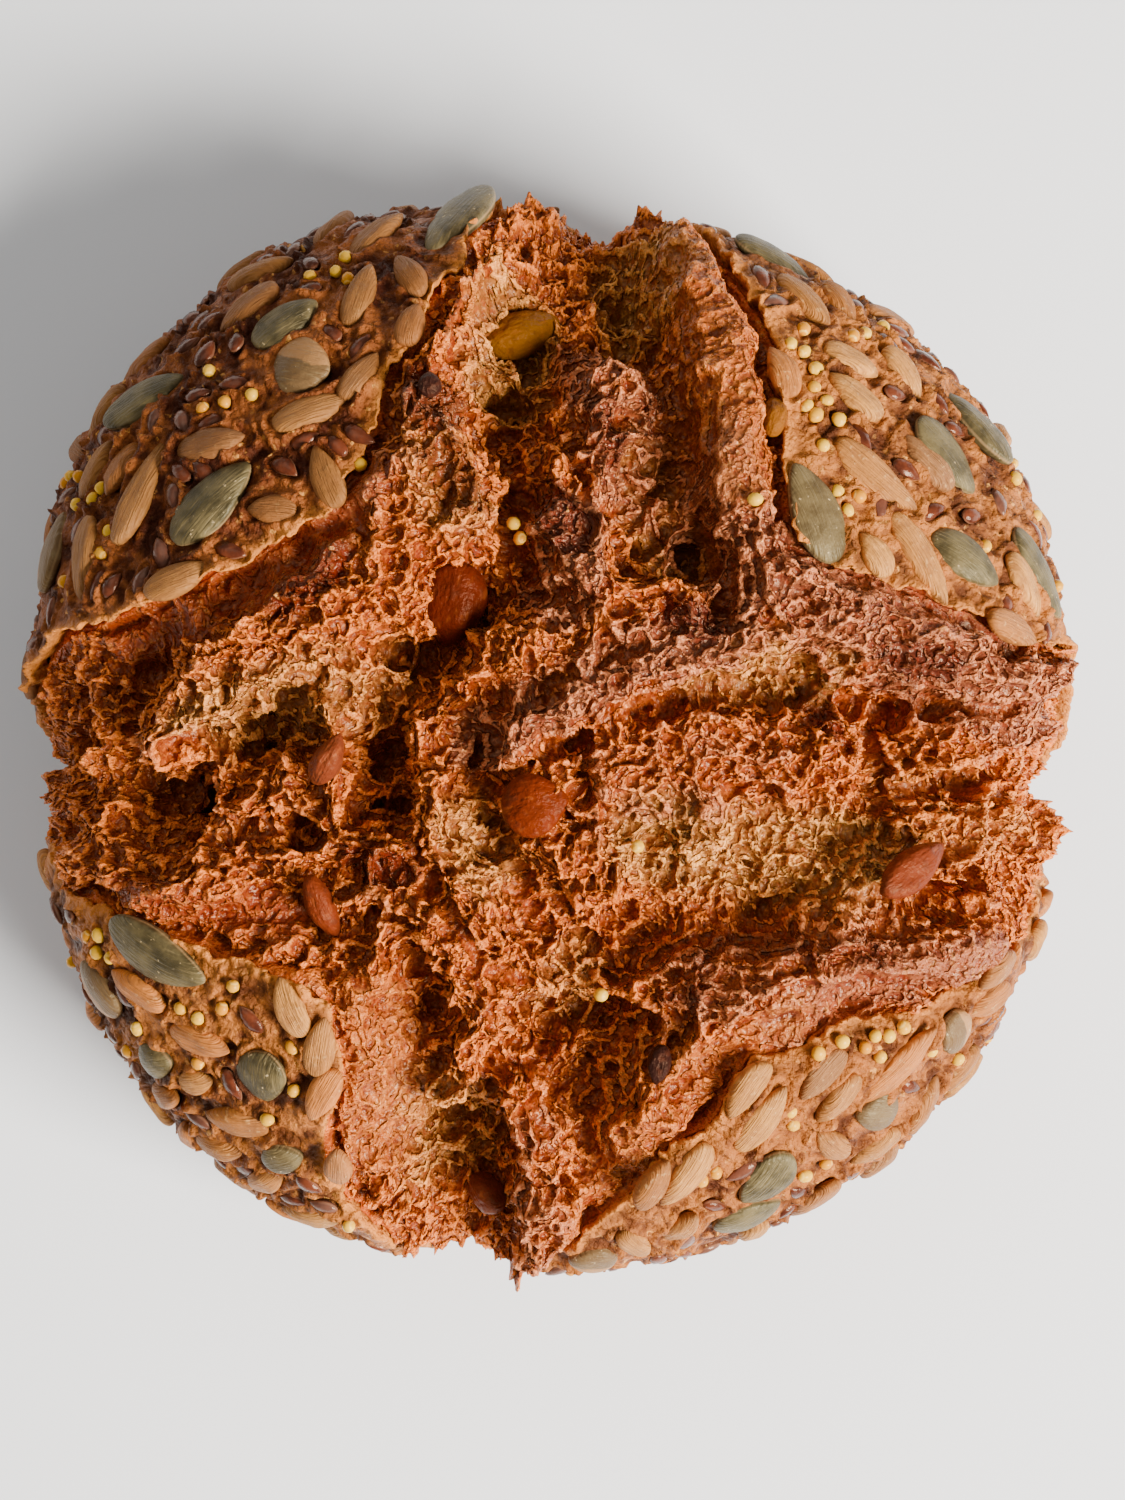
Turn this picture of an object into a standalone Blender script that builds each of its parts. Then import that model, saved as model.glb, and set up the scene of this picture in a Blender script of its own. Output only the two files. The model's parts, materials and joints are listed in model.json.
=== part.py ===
# A seeded multigrain hearth loaf that burst open along a deep cross cut.
#
# Four flaps of seeded crust lie round a cross of torn, craggy crumb. The loaf is one solid
# piece: the crags are relief in it, and the larger seeds are fused to the crust.
# Metres, +Z up. The loaf rests on its flat foot at z = 0, +X is its right side and +Y its
# far side as seen from above.

import bpy
import bmesh
import numpy as np
from mathutils import Matrix, Vector

mm = 0.001

# Driving dimensions of the dome
girth_radius = 75.2 * mm
loaf_height = 68.5 * mm
girth_height = 27.0 * mm
foot_dip = 36.0 * mm            # how far the underside would reach below the girth
dome_power = 2.35               # superellipse powers of the upper and lower profile
foot_power = 2.6
viewing_height = 520.0 * mm     # the places below are laid out as seen from this height
profile_steps = 1500

# The outline wanders from a circle: (waves round the loaf, share of the radius, turn in degrees)
outline_waves = [(4, 0.016, 41.0), (3, 0.010, 14.0), (2, 0.015, -74.0)]

# Relief of the torn crumb
crumb_floor = 1.0 * mm          # how far the crumb starts below the crust's edge
crumb_depth = 9.5 * mm          # and how much deeper it gets away from it
crumb_slope = 14.0 * mm
flank_from, flank_to = 62.0 * mm, 84.0 * mm      # over the shoulder the cut gets shallower
flank_floor, flank_ridge, flank_hollow = 0.85, 0.55, 0.6
crag_merge = 0.9 / mm           # how sharply neighbouring ridges merge
crag_ceiling = 1.8 * mm
edge_ceiling, edge_slope = 0.4 * mm, 1.3         # the crumb stays under the crust's edge
flap_lip = 0.9 * mm             # the crust's edge curls up by this much
flap_lip_width = 3.0 * mm
flap_swell = 0.9 * mm
edge_ragged = 0.6               # share of the wander that frays the crust's edge

# Seeds: length, width and thickness of the median seed of each kind, in millimetres, and the
# power with which the width grows with the length
seed_sizes = {"pumpkin": (12.5, 6.6, 3.2), "sunflower": (9.5, 4.2, 3.2)}
seed_widening = {"pumpkin": 0.1, "sunflower": 0.25}
round_length, round_width = 9.5, 0.88            # pumpkin seeds shorter than this look round
seed_counts = {"pumpkin": 16, "sunflower": 30}   # laid by the rule, besides those placed below
seed_sides, seed_rings = 6, 4
seed_sunk = 0.35                # share of the thickness that is below the crust
seed_taper = 0.5                # the tip is narrower than the other end
seed_highest, seed_lowest = 40.0 * mm, 118.0 * mm    # along the skin from the top
candidates = 40                 # places tried for each seed, of which the clearest is kept
seed_clearance = 0.8            # the least gap, as a share of the half widths of both seeds

# The cross of torn crumb, in millimetres as seen from above: the edges of the four crust
# flaps, clockwise from the far arm, and after each flap the direction of the next arm
flap_edges = [
    [(22, 71), (28.5, 63.5), (32.5, 53.5), (31, 50.5), (34.5, 41), (34, 37), (36.5, 26),
     (49, 21), (61.5, 16.5), (65, 13.5), (73.5, 12)],
    [(72, -28.5), (60.5, -35.5), (50.5, -41), (42.5, -41), (35, -46.5), (29.5, -46.5),
     (23, -56.5), (17, -59), (12.5, -66), (2, -74), (-2, -79.5)],
    [(-20.5, -73.5), (-31.5, -62.5), (-30, -47.5), (-31.5, -40), (-34, -36.5), (-51.5, -30),
     (-63, -26), (-71.5, -20)],
    [(-72.5, 9.5), (-67, 14), (-62, 16), (-52, 20.5), (-42.5, 25), (-31.5, 31), (-24.5, 41),
     (-22.5, 50.5), (-17.5, 57.5), (-16, 63), (-11.5, 69), (-6.5, 77)],
]
arm_turns = [-6, 261.5, 184, 84]
arm_end = 118.0 * mm            # the arms of the cross run this far along the skin

# Ridges of torn crumb: half width, height, and the way along the crest, in millimetres
ridges = [
    (8.5, 12.0, [(-13, 37.5), (-21, 23.5), (-35.5, 13.5), (-49.5, 5.5), (-58, -1.5)]),
    (5.5, 11.0, [(-18, 48.5), (-15.5, 39), (-11, 31)]),
    (3.5, 9.0, [(-8, 68.5), (-13, 62), (-17.5, 52)]),
    (5.0, 3.0, [(-4, 75), (15.5, 73.5)]),
    (8.0, 8.5, [(13.5, 45), (9, 53), (6, 37.5)]),
    (6.0, 11.0, [(21.5, 63), (24, 53.5), (28.5, 30.5)]),
    (5.0, 6.0, [(18, 71), (21.5, 63)]),
    (7.0, 11.5, [(4, 30.5), (7.5, 22)]),
    (6.5, 12.5, [(-5.5, -0.5), (7.5, 6), (22, 12), (36, 16), (50.5, 17.5)]),
    (8.5, 10.5, [(-2.5, 12), (20.5, 19)]),
    (6.0, 8.5, [(-11, 6), (-6.5, 13.5)]),
    (8.5, 11.0, [(34.5, 20.5), (47.5, 12), (70, 6)]),
    (5.5, 11.0, [(56, -2.5), (72.5, -0.5)]),
    (9.0, 9.5, [(13.5, -4), (27.5, -1), (43.5, -4)]),
    (7.5, 10.0, [(22, -12.5), (10.5, -8), (-1, -9.5), (7.5, -21)]),
    (6.0, 7.5, [(57.5, -12.5), (73, -13), (67, -21)]),
    (5.0, 9.0, [(47.5, -21.5), (65, -18)]),
    (6.0, 10.0, [(16, -39.5), (43.5, -31), (65, -27.5)]),
    (5.5, 7.5, [(13.5, -52.5), (22, -39.5)]),
    (5.5, 10.5, [(-6.5, -54), (-0.5, -61), (-0.5, -78)]),
    (5.5, 9.5, [(-16.5, -28), (-9.5, -43), (-15.5, -52.5)]),
    (5.0, 9.5, [(-15.5, -14), (-6.5, -32.5)]),
    (5.0, 7.5, [(-21, -24), (-24, -32.5)]),
    (6.5, 8.0, [(-68, -16.5), (-35.5, -19.5), (-21, -21)]),
    (6.0, 7.0, [(-47, -9.5), (-37, -8)]),
    (4.0, 9.0, [(-34.5, 4.5), (-30.5, -15.5), (-21, -18)]),
    (5.0, 7.5, [(-16.5, 2), (-16.5, -14)]),
    (4.5, 7.0, [(13.5, -38), (-4, -35.5)]),
    (5.0, 5.5, [(-69.5, -4), (-65.5, 4.5)]),
    (5.0, 8.5, [(-76, -8), (-67, -12)]),
]
# Hollows between them: half width, depth and place, in millimetres
hollows = [
    (3.4, 9.0, (-7, 53.5)), (7.0, 4.5, (-5, 64)), (3.2, 8.0, (22.5, 25)), (4.5, 4.0, (14, 71)),
    (3.0, 3.5, (15.5, 42)), (2.6, 7.0, (-55.5, -11.5)), (4.0, 6.0, (-25, -3)), (7.0, 3.0, (-45, -3)),
    (6.0, 3.0, (-61, -8)), (3.0, 4.0, (-24.5, 13.5)), (5.0, 3.5, (-24, -12.5)), (4.5, 5.0, (-9.5, -16.5)),
    (5.5, 5.0, (6, -36)), (4.5, 4.0, (2, -45)), (7.5, 5.5, (-15, -66)), (7.0, 1.5, (35, -22.5)),
    (4.0, 3.5, (50.5, -4)), (4.0, 3.0, (59, -8)),
]

# Seeds that can be told one by one: place in millimetres as seen from above, turn and length
placed_seeds = {
    "pumpkin": [
        (-12.5, 73, 35, 18.5), (-34.5, 52, -15, 9), (-57, 47, 38, 13.5), (-47.5, 32.5, 49, 15.5),
        (-37, 58, 30, 10), (-69.5, 25.5, 80, 11.5), (57, 39.5, -50, 13.5), (61, 43, -57, 14.5),
        (38, 31, -65, 13.5), (69.5, 22.5, -66, 14.5), (59.5, 24.5, -42, 11), (32, 67.5, -22, 12),
        (-55, -31, -33, 17.5), (-63.5, -36.5, -60, 10), (-55.5, -47, 0, 6.5), (-40, -49, 90, 8),
        (-37.5, -60.5, 0, 6), (46.5, -54, 0, 7), (57.5, -42.5, 90, 7), (31, -63, 50, 11),
        (28.5, -68.5, 25, 10), (6.5, -74.5, 0, 7),
    ],
    "sunflower": [
        (-42, 60, 33, 10.5), (-47.5, 41, 12, 11), (-57.5, 34, 70, 16), (-33.5, 45.5, 22, 11.5),
        (-26.5, 62, 65, 10), (-19, 57.5, 70, 6.5), (-52, 21.5, 28, 10.5), (-65, 24.5, 80, 13),
        (-39, 31.5, 0, 6.5), (-26.5, 50.5, 50, 8), (36.5, 61, -48, 10.5), (50.5, 51, -50, 8.5),
        (47, 36.5, -42, 15), (54.5, 38.5, -50, 10.5), (53, 24.5, -62, 14), (46.5, 25, -60, 7),
        (65.5, 14.5, -28, 10.5), (33, 50.5, -65, 8), (-58, -36.5, -38, 9.5), (-36, -39, -65, 9),
        (-32, -44.5, 80, 9), (-31.5, -51.5, 62, 9), (-29.5, -61, 90, 7), (-46.5, -59, -20, 9),
        (-33.5, -68, -15, 10), (-50, -50, 0, 6), (28.5, -50.5, 55, 9.5), (30.5, -54.5, 57, 12),
        (15, -63.5, 52, 8.5), (19.5, -62.5, 49, 11.5), (50, -47, 52, 14.5), (40.5, -58, -35, 7.5),
        (38, -66.5, 45, 13.5), (63, -33.5, 36, 9), (39, -48.5, 45, 8.5), (53.5, -53, 60, 10.5),
        (12.5, -72.5, -28, 7),
    ],
}

dough_offset = (0.0 * mm, 0.51 * mm)    # centres the finished loaf over the origin
relief_end = 3.0 * mm           # the crags fade out over the last stretch above the foot
crust_colour = (0.235, 0.098, 0.042)
crust_roughness = 0.8

# Fineness of the solid
base_mesh_level = 7
body_triangles = 4500
random_seed = 7
lattice_size = 64


# Frame of the dome
def dome_profile():
    # Superellipse arcs above and below the girth, sampled from the top to the underside.
    turn = np.linspace(0, np.pi / 2, profile_steps)
    upper_r = girth_radius * np.sin(turn) ** (2 / dome_power)
    upper_z = girth_height + (loaf_height - girth_height) * np.cos(turn) ** (2 / dome_power)
    lower_r = girth_radius * np.cos(turn) ** (2 / foot_power)
    lower_z = girth_height - foot_dip * np.sin(turn) ** (2 / foot_power)
    radius = np.concatenate([upper_r, lower_r[1:]])
    height = np.concatenate([upper_z, lower_z[1:]])
    steps = np.hypot(np.diff(radius), np.diff(height))
    return np.concatenate([[0.0], np.cumsum(steps)]), radius, height


skin_run, skin_radius, skin_height = dome_profile()
# Radius at which a point of the skin appears, projected from the viewing height to the girth
seen_radius = skin_radius * (viewing_height - girth_height) / (viewing_height - skin_height)
rim_index = int(np.argmax(seen_radius))
girth_run = skin_run[int(np.argmax(skin_radius))]


def outline(angle):
    waves = sum(share * np.cos(count * (angle - np.radians(turn))) for count, share, turn in outline_waves)
    return 1 + waves


def to_skin(places):
    # From millimetres as seen from above to the unrolled skin: distance along it, same direction.
    places = np.atleast_2d(np.asarray(places, float)) * mm
    far = np.hypot(places[:, 0], places[:, 1])
    seen = far / outline(np.arctan2(places[:, 1], places[:, 0]))
    run = np.interp(seen, seen_radius[:rim_index + 1], skin_run[:rim_index + 1])
    return places * (run / np.maximum(far, 1e-9))[:, None]


def dome_points(skin):
    run = np.hypot(skin[:, 0], skin[:, 1])
    angle = np.arctan2(skin[:, 1], skin[:, 0])
    radius = np.interp(run, skin_run, skin_radius) * outline(angle)
    height = np.interp(run, skin_run, skin_height)
    return np.column_stack([radius * np.cos(angle), radius * np.sin(angle), height])


def dome_normals(skin):
    # Square to the slope along the run, in the plane through the axis.
    run = np.hypot(skin[:, 0], skin[:, 1])
    out = np.where(run[:, None] > 1e-7, skin / np.maximum(run, 1e-7)[:, None], [1.0, 0.0])
    step = 0.2 * mm
    rise = dome_points(out * (run + step)[:, None]) - dome_points(out * np.maximum(run - step, 0)[:, None])
    level = np.sum(rise[:, :2] * out, axis=1)
    normals = np.column_stack([-rise[:, 2:3] * out, level])
    return normals / np.linalg.norm(normals, axis=1)[:, None]


# Small maths
def smooth_step(low, high, value):
    share = np.clip((value - low) / (high - low), 0, 1)
    return share * share * (3 - 2 * share)


def smooth_noise(points, size, shift):
    # Random values at the corners of a cubic lattice, blended smoothly between them: -1 to 1.
    place = points / size + shift + 1000.0
    cell = np.floor(place).astype(np.int64)
    part = place - cell
    part = part ** 3 * (part * (part * 6 - 15) + 10)
    total = np.zeros(len(points))
    for corner in np.ndindex(2, 2, 2):
        weight = np.prod(np.where(corner, part, 1 - part), axis=1)
        spot = (cell + corner) % lattice_size
        total += weight * lattice[spot[:, 0], spot[:, 1], spot[:, 2]]
    return total


lattice = np.random.default_rng(random_seed).random((lattice_size,) * 3) * 2 - 1


def distance_to_line(skin, line):
    best = np.full(len(skin), np.inf)
    for start, end in zip(line[:-1], line[1:]):
        way = end - start
        share = np.clip(((skin - start) @ way) / (way @ way), 0, 1)
        gap = skin - start - share[:, None] * way
        best = np.minimum(best, np.hypot(gap[:, 0], gap[:, 1]))
    return best


def inside_distance(skin, corners):
    # Distance to a closed outline, positive inside it.
    inside = np.zeros(len(skin), bool)
    for start, end in zip(corners, np.roll(corners, -1, axis=0)):
        rise = end[1] - start[1]
        crosses = (start[1] > skin[:, 1]) != (end[1] > skin[:, 1])
        if rise != 0:
            across = (end[0] - start[0]) * (skin[:, 1] - start[1]) / rise + start[0]
            inside ^= crosses & (skin[:, 0] < across)
    distance = distance_to_line(skin, np.vstack([corners, corners[:1]]))
    return np.where(inside, distance, -distance)


# Crust flaps and crags
def cross_outline():
    parts = []
    for edge, turn in zip(flap_edges, arm_turns):
        tip = np.radians(turn)
        parts += [to_skin(edge), [(arm_end * np.cos(tip), arm_end * np.sin(tip))]]
    return np.vstack(parts)


cross_corners = cross_outline()
ridge_lines = [(width * mm, height * mm, to_skin(line)) for width, height, line in ridges]
hollow_places = [(width * mm, depth * mm, to_skin(place)[0]) for width, depth, place in hollows]


def wander(points):
    return np.column_stack([
        1.6 * smooth_noise(points, 9.0 * mm, 3.1) + 0.7 * smooth_noise(points, 3.4 * mm, 8.7),
        1.6 * smooth_noise(points, 9.0 * mm, 5.7) + 0.7 * smooth_noise(points, 3.4 * mm, 1.9),
    ]) * mm


def crust_distance(skin, points):
    # Distance from the crust's torn edge, positive on the crust.
    return -inside_distance(skin + edge_ragged * wander(points), cross_corners)


def crust_height(points, inside):
    # A slow swell, curling up towards the torn edge by lip x exp(-distance / width).
    curl = flap_lip * np.exp(-np.maximum(inside, 0) / flap_lip_width)
    return flap_swell * smooth_noise(points, 22 * mm, 4.4) + curl


def crag_height(skin, points, outward):
    # A floor that falls away from the crust's edge, ridges added by log(sum of exp(height)),
    # hollows taken from them, and two sizes of noise.
    spread = np.hypot(points[:, 0], points[:, 1])
    spread += 0.25 * np.maximum(np.hypot(skin[:, 0], skin[:, 1]) - girth_run, 0)
    flank = smooth_step(flank_from, flank_to, spread)
    floor = crumb_floor + crumb_depth * smooth_step(2 * mm, crumb_slope, outward)
    placed = skin + 1.3 * wander(points)
    merged = np.zeros(len(skin))
    for width, height, line in ridge_lines:
        crest = height * (1 - smooth_step(0.25, 1.25, distance_to_line(placed, line) / width))
        merged += np.exp(crag_merge * crest) - 1
    crags = np.log1p(merged) / crag_merge * (1 - flank_ridge * flank) - floor * (1 - flank_floor * flank)
    for width, depth, place in hollow_places:
        gap = placed - place
        bowl = depth * (1 - smooth_step(0.35, 1.15, np.hypot(gap[:, 0], gap[:, 1]) / width))
        crags -= bowl * (1 - flank_hollow * flank)
    crags += (1.3 * smooth_noise(points, 6.5 * mm, 2.2) + 0.7 * smooth_noise(points, 3.1 * mm, 6.1)) * mm
    crags = np.minimum(crags, crag_ceiling + 0.3 * crags)
    return np.minimum(crags, edge_slope * np.maximum(outward, -1 * mm) - edge_ceiling)


def loaf_surface(skin):
    # Crust inside the flaps and crags outside them, along the dome's own normal, fading
    # out before the foot.
    points = dome_points(skin)
    inside = crust_distance(skin, points)
    on_crust = smooth_step(-0.6 * mm, 0.5 * mm, inside)
    crags = crag_height(skin, points, -inside)
    height = crags * (1 - on_crust) + crust_height(points, inside) * on_crust
    fade = smooth_step(relief_end, 4 * relief_end, points[:, 2])
    return points + dome_normals(skin) * (height * fade)[:, None]


# Seeds
def on_crust(skin):
    points = dome_points(skin)
    return points + dome_normals(skin) * crust_height(points, crust_distance(skin, points))[:, None]


def seed_at(kind, place, turn, length):
    # A seed lies along the skin: its middle, its way along, its own width and thickness.
    heading = np.array([np.cos(turn), np.sin(turn)]) * 0.5 * mm
    middle, behind, ahead = on_crust(np.vstack([place, place - heading, place + heading]))
    normal = dome_normals(place[None])[0]
    along = ahead - behind
    along -= normal * (along @ normal)
    along /= np.linalg.norm(along)
    median_length, width, thickness = seed_sizes[kind]
    width *= (length / median_length) ** seed_widening[kind]
    if kind == "pumpkin" and length < round_length:
        width = round_width * length
    return {"middle": middle, "normal": normal, "along": along, "length": length * mm,
            "width": width * mm, "thickness": thickness * mm}


def seed_spots(seed):
    reach = seed["length"] * np.array([-0.36, 0, 0.36])
    return seed["middle"] + reach[:, None] * seed["along"]


def clearance(seed, others):
    # The least gap to the seeds already laid, as a share of the two half widths.
    spots = seed_spots(seed)
    gaps = [np.linalg.norm(spots[:, None] - seed_spots(other)[None], axis=2).min()
            / (0.5 * (seed["width"] + other["width"])) for other in others]
    return min(gaps)


def lay_seeds():
    seeds = []
    for kind, rows in placed_seeds.items():
        for x, y, turn, length in rows:
            tip = (x + np.cos(np.radians(turn)), y + np.sin(np.radians(turn)))
            place, ahead = to_skin([(x, y), tip])
            seeds.append(seed_at(kind, place, np.arctan2(*(ahead - place)[::-1]), length))
    draw = np.random.default_rng(random_seed)
    for kind, count in seed_counts.items():
        for _ in range(count):
            run = draw.uniform(seed_highest, seed_lowest, candidates)
            angle = draw.uniform(0, 2 * np.pi, candidates)
            places = np.column_stack([np.cos(angle), np.sin(angle)]) * run[:, None]
            length = seed_sizes[kind][0] * draw.uniform(0.85, 1.15)
            turns = draw.uniform(0, np.pi, candidates)
            inside = crust_distance(places, dome_points(places))
            options = [seed_at(kind, places[i], turns[i], length)
                       for i in range(candidates) if inside[i] > 0.3 * length * mm]
            gaps = [clearance(seed, seeds) for seed in options]
            if gaps and max(gaps) > seed_clearance:
                seeds.append(options[int(np.argmax(gaps))])
    return seeds


def make_seed(name, seed, collection):
    # A low ball drawn out to the seed's length, with its poles at the tips.
    mesh = bpy.data.meshes.new(name)
    ball = bmesh.new()
    bmesh.ops.create_uvsphere(ball, u_segments=seed_sides, v_segments=seed_rings, radius=0.5)
    for vert in ball.verts:
        vert.co.x *= 1 - seed_taper * vert.co.z
    ball.to_mesh(mesh)
    ball.free()
    normal, along = Vector(seed["normal"]), Vector(seed["along"])
    across = normal.cross(along)
    turn = Matrix((across, normal, along)).transposed().to_4x4()
    lift = normal * (0.5 - seed_sunk) * seed["thickness"]
    size = Matrix.Diagonal((seed["width"], seed["thickness"], seed["length"], 1))
    mesh.transform(Matrix.Translation(Vector(seed["middle"]) + lift) @ turn @ size)
    collection.objects.link(bpy.data.objects.new(name, mesh))


# The loaf
def shape_body():
    # Every point of a fine ball moves to the point of the skin in the same direction.
    bpy.ops.mesh.primitive_ico_sphere_add(subdivisions=base_mesh_level, radius=1)
    body = bpy.context.active_object
    count = len(body.data.vertices)
    ball = np.empty(count * 3)
    body.data.vertices.foreach_get("co", ball)
    ball = ball.reshape(-1, 3)
    run = np.arccos(np.clip(ball[:, 2], -1, 1)) / np.pi * skin_run[-1]
    angle = np.arctan2(ball[:, 1], ball[:, 0])
    skin = np.column_stack([np.cos(angle), np.sin(angle)]) * run[:, None]
    body.data.vertices.foreach_set("co", loaf_surface(skin).astype(np.float32).ravel())
    body.data.update()
    return body


def apply_modifiers(thing):
    # Swap the object's mesh for the one that its modifiers make.
    graph = bpy.context.evaluated_depsgraph_get()
    mesh = bpy.data.meshes.new_from_object(thing.evaluated_get(graph), depsgraph=graph)
    thing.modifiers.clear()
    thing.data = mesh


def cut_foot(body):
    # The dough lies flat on the baking stone: all below z = 0 is cut away and closed.
    mesh = bmesh.new()
    mesh.from_mesh(body.data)
    everything = mesh.verts[:] + mesh.edges[:] + mesh.faces[:]
    bmesh.ops.bisect_plane(mesh, geom=everything, dist=1e-7, plane_co=(0, 0, 0), plane_no=(0, 0, 1),
                           clear_inner=True)
    rim = [edge for edge in mesh.edges if edge.is_boundary]
    bmesh.ops.holes_fill(mesh, edges=rim)
    mesh.to_mesh(body.data)
    mesh.free()


def drop_scraps(body):
    # Keep the largest connected piece of the mesh.
    mesh = bmesh.new()
    mesh.from_mesh(body.data)
    left, pieces = set(mesh.verts), []
    while left:
        piece, front = set(), [left.pop()]
        while front:
            vert = front.pop()
            piece.add(vert)
            reached = {edge.other_vert(vert) for edge in vert.link_edges} & left
            left -= reached
            front.extend(reached)
        pieces.append(piece)
    pieces.sort(key=len)
    for piece in pieces[:-1]:
        bmesh.ops.delete(mesh, geom=list(piece), context="VERTS")
    mesh.to_mesh(body.data)
    mesh.free()


def make_material(name, colour, roughness):
    material = bpy.data.materials.new(name)
    material.use_nodes = True
    surface = material.node_tree.nodes["Principled BSDF"]
    surface.inputs["Base Color"].default_value = (*colour, 1)
    surface.inputs["Roughness"].default_value = roughness
    surface.inputs["Metallic"].default_value = 0.0
    return material


def make_loaf():
    model = bpy.data.collections.new("multigrain_loaf")
    toppings = bpy.data.collections.new("seeds")
    for collection in (model, toppings):
        bpy.context.scene.collection.children.link(collection)

    loaf = shape_body()
    loaf.name = loaf.data.name = "loaf"
    for holder in loaf.users_collection:
        holder.objects.unlink(loaf)
    model.objects.link(loaf)
    thin = loaf.modifiers.new("fewer_faces", "DECIMATE")
    thin.ratio = body_triangles / len(loaf.data.polygons)
    apply_modifiers(loaf)
    cut_foot(loaf)

    for number, seed in enumerate(lay_seeds()):
        make_seed(f"seed_{number:03d}", seed, toppings)
    fuse = loaf.modifiers.new("fused_seeds", "BOOLEAN")
    fuse.operation = "UNION"
    fuse.operand_type = "COLLECTION"
    fuse.collection = toppings
    fuse.solver = "MANIFOLD"
    apply_modifiers(loaf)
    for seed in list(toppings.objects):
        bpy.data.objects.remove(seed)
    bpy.data.collections.remove(toppings)
    drop_scraps(loaf)

    loaf.data.transform(Matrix.Translation((*dough_offset, 0)))
    loaf.data.materials.clear()
    loaf.data.materials.append(make_material("crust", crust_colour, crust_roughness))
    loaf.data.shade_smooth()
    loaf.data.set_sharp_from_angle(angle=np.radians(50))
    print("loaf", len(loaf.data.polygons), "faces")
    corners = np.array([vert.co[:] for vert in loaf.data.vertices]) / mm
    print("low corner", corners.min(axis=0).round(2), "high corner", corners.max(axis=0).round(2))


for thing in list(bpy.data.objects):
    bpy.data.objects.remove(thing)
make_loaf()
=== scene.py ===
import json
import bpy
import numpy as np
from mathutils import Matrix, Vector

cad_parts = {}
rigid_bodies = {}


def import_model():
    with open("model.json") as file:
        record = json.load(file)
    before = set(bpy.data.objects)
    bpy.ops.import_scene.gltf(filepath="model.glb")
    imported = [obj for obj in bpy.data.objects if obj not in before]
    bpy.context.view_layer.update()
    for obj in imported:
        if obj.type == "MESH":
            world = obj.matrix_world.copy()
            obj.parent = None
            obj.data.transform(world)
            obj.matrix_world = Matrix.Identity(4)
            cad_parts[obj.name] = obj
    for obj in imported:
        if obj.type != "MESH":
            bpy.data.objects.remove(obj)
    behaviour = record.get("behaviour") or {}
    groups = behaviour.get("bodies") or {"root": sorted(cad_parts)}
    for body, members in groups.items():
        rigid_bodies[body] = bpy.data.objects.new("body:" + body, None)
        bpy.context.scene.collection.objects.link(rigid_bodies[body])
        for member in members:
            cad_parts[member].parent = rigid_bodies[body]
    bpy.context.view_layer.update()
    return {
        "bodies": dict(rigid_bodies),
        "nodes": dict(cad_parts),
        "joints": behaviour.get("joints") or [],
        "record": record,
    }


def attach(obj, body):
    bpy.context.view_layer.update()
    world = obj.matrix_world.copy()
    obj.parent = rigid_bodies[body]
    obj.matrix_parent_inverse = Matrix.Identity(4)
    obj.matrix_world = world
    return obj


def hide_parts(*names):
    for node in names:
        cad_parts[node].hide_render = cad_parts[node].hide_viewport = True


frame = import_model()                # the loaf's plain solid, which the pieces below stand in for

# Seeded multigrain loaf, burst open along a cross cut. All sizes are in millimetres until a
# mesh is made. Places are given as seen from above, with the middle of the dough at (0, 0).
mm = 0.001

dough = {
    "girthRadius": 75.2,
    "height": 68.5,
    "girthHeight": 27.0,
    "footDip": 36.0,             # how far the underside would reach below the girth
    "domePower": 2.35,           # superellipse powers above and below the girth
    "footPower": 2.6,
    "viewingHeight": 520.0,      # the places are laid out as seen from this height
    "outlineWaves": [(4, 0.016, 41.0), (3, 0.010, 14.0), (2, 0.015, -74.0)],
    "offset": (0.0, 0.51),       # brings the middle of the loaf's box over the origin
}


def report(text):
    print("loaf scene:", text, flush=True)


# Rows of two or three numbers are places or ways
def dots(first, second):
    return np.einsum("ij,ij->i", first, second)


def unit(rows):
    return rows / np.maximum(np.linalg.norm(rows, axis=1), 1e-9)[:, None]


def headings(turns):
    return np.column_stack([np.cos(turns), np.sin(turns)])


# Noise. Both tables repeat, and their sizes are powers of two.
latticeSize = 64
lattice = (np.random.default_rng(7).random((latticeSize,) * 3) * 2 - 1).astype(np.float32)
bubbleSize = 32
bubbleTable = np.random.default_rng(11).random((bubbleSize,) * 3 + (5,)).astype(np.float32)


def smoothStep(low, high, value):
    share = np.clip((value - low) / (high - low), 0, 1)
    return share * share * (3 - 2 * share)


def tableAt(table, corner):
    spot = corner & (len(table) - 1)
    return table[spot[:, 0], spot[:, 1], spot[:, 2]]


# Random values at the corners of a cubic lattice, blended by 6t^5 - 15t^4 + 10t^3: -1 to 1.
def smoothNoise(points, size, shift):
    place = points / size + shift + 1000.0
    cell = np.floor(place).astype(np.int64)
    part = (place - cell).astype(np.float32)
    part = part ** 3 * (part * (part * 6 - 15) + 10)
    total = np.zeros(len(points), np.float32)
    for corner in np.ndindex(2, 2, 2):
        weight = np.prod(np.where(corner, part, 1 - part), axis=1)
        total += weight * tableAt(lattice, cell + corner)
    return total


# Sharp creases: one minus 2.2 times the size of the noise, so that the zero line is a ridge.
def ridgeNoise(points, size, shift):
    return 1 - 2.2 * np.abs(smoothNoise(points, size, shift))


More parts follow.
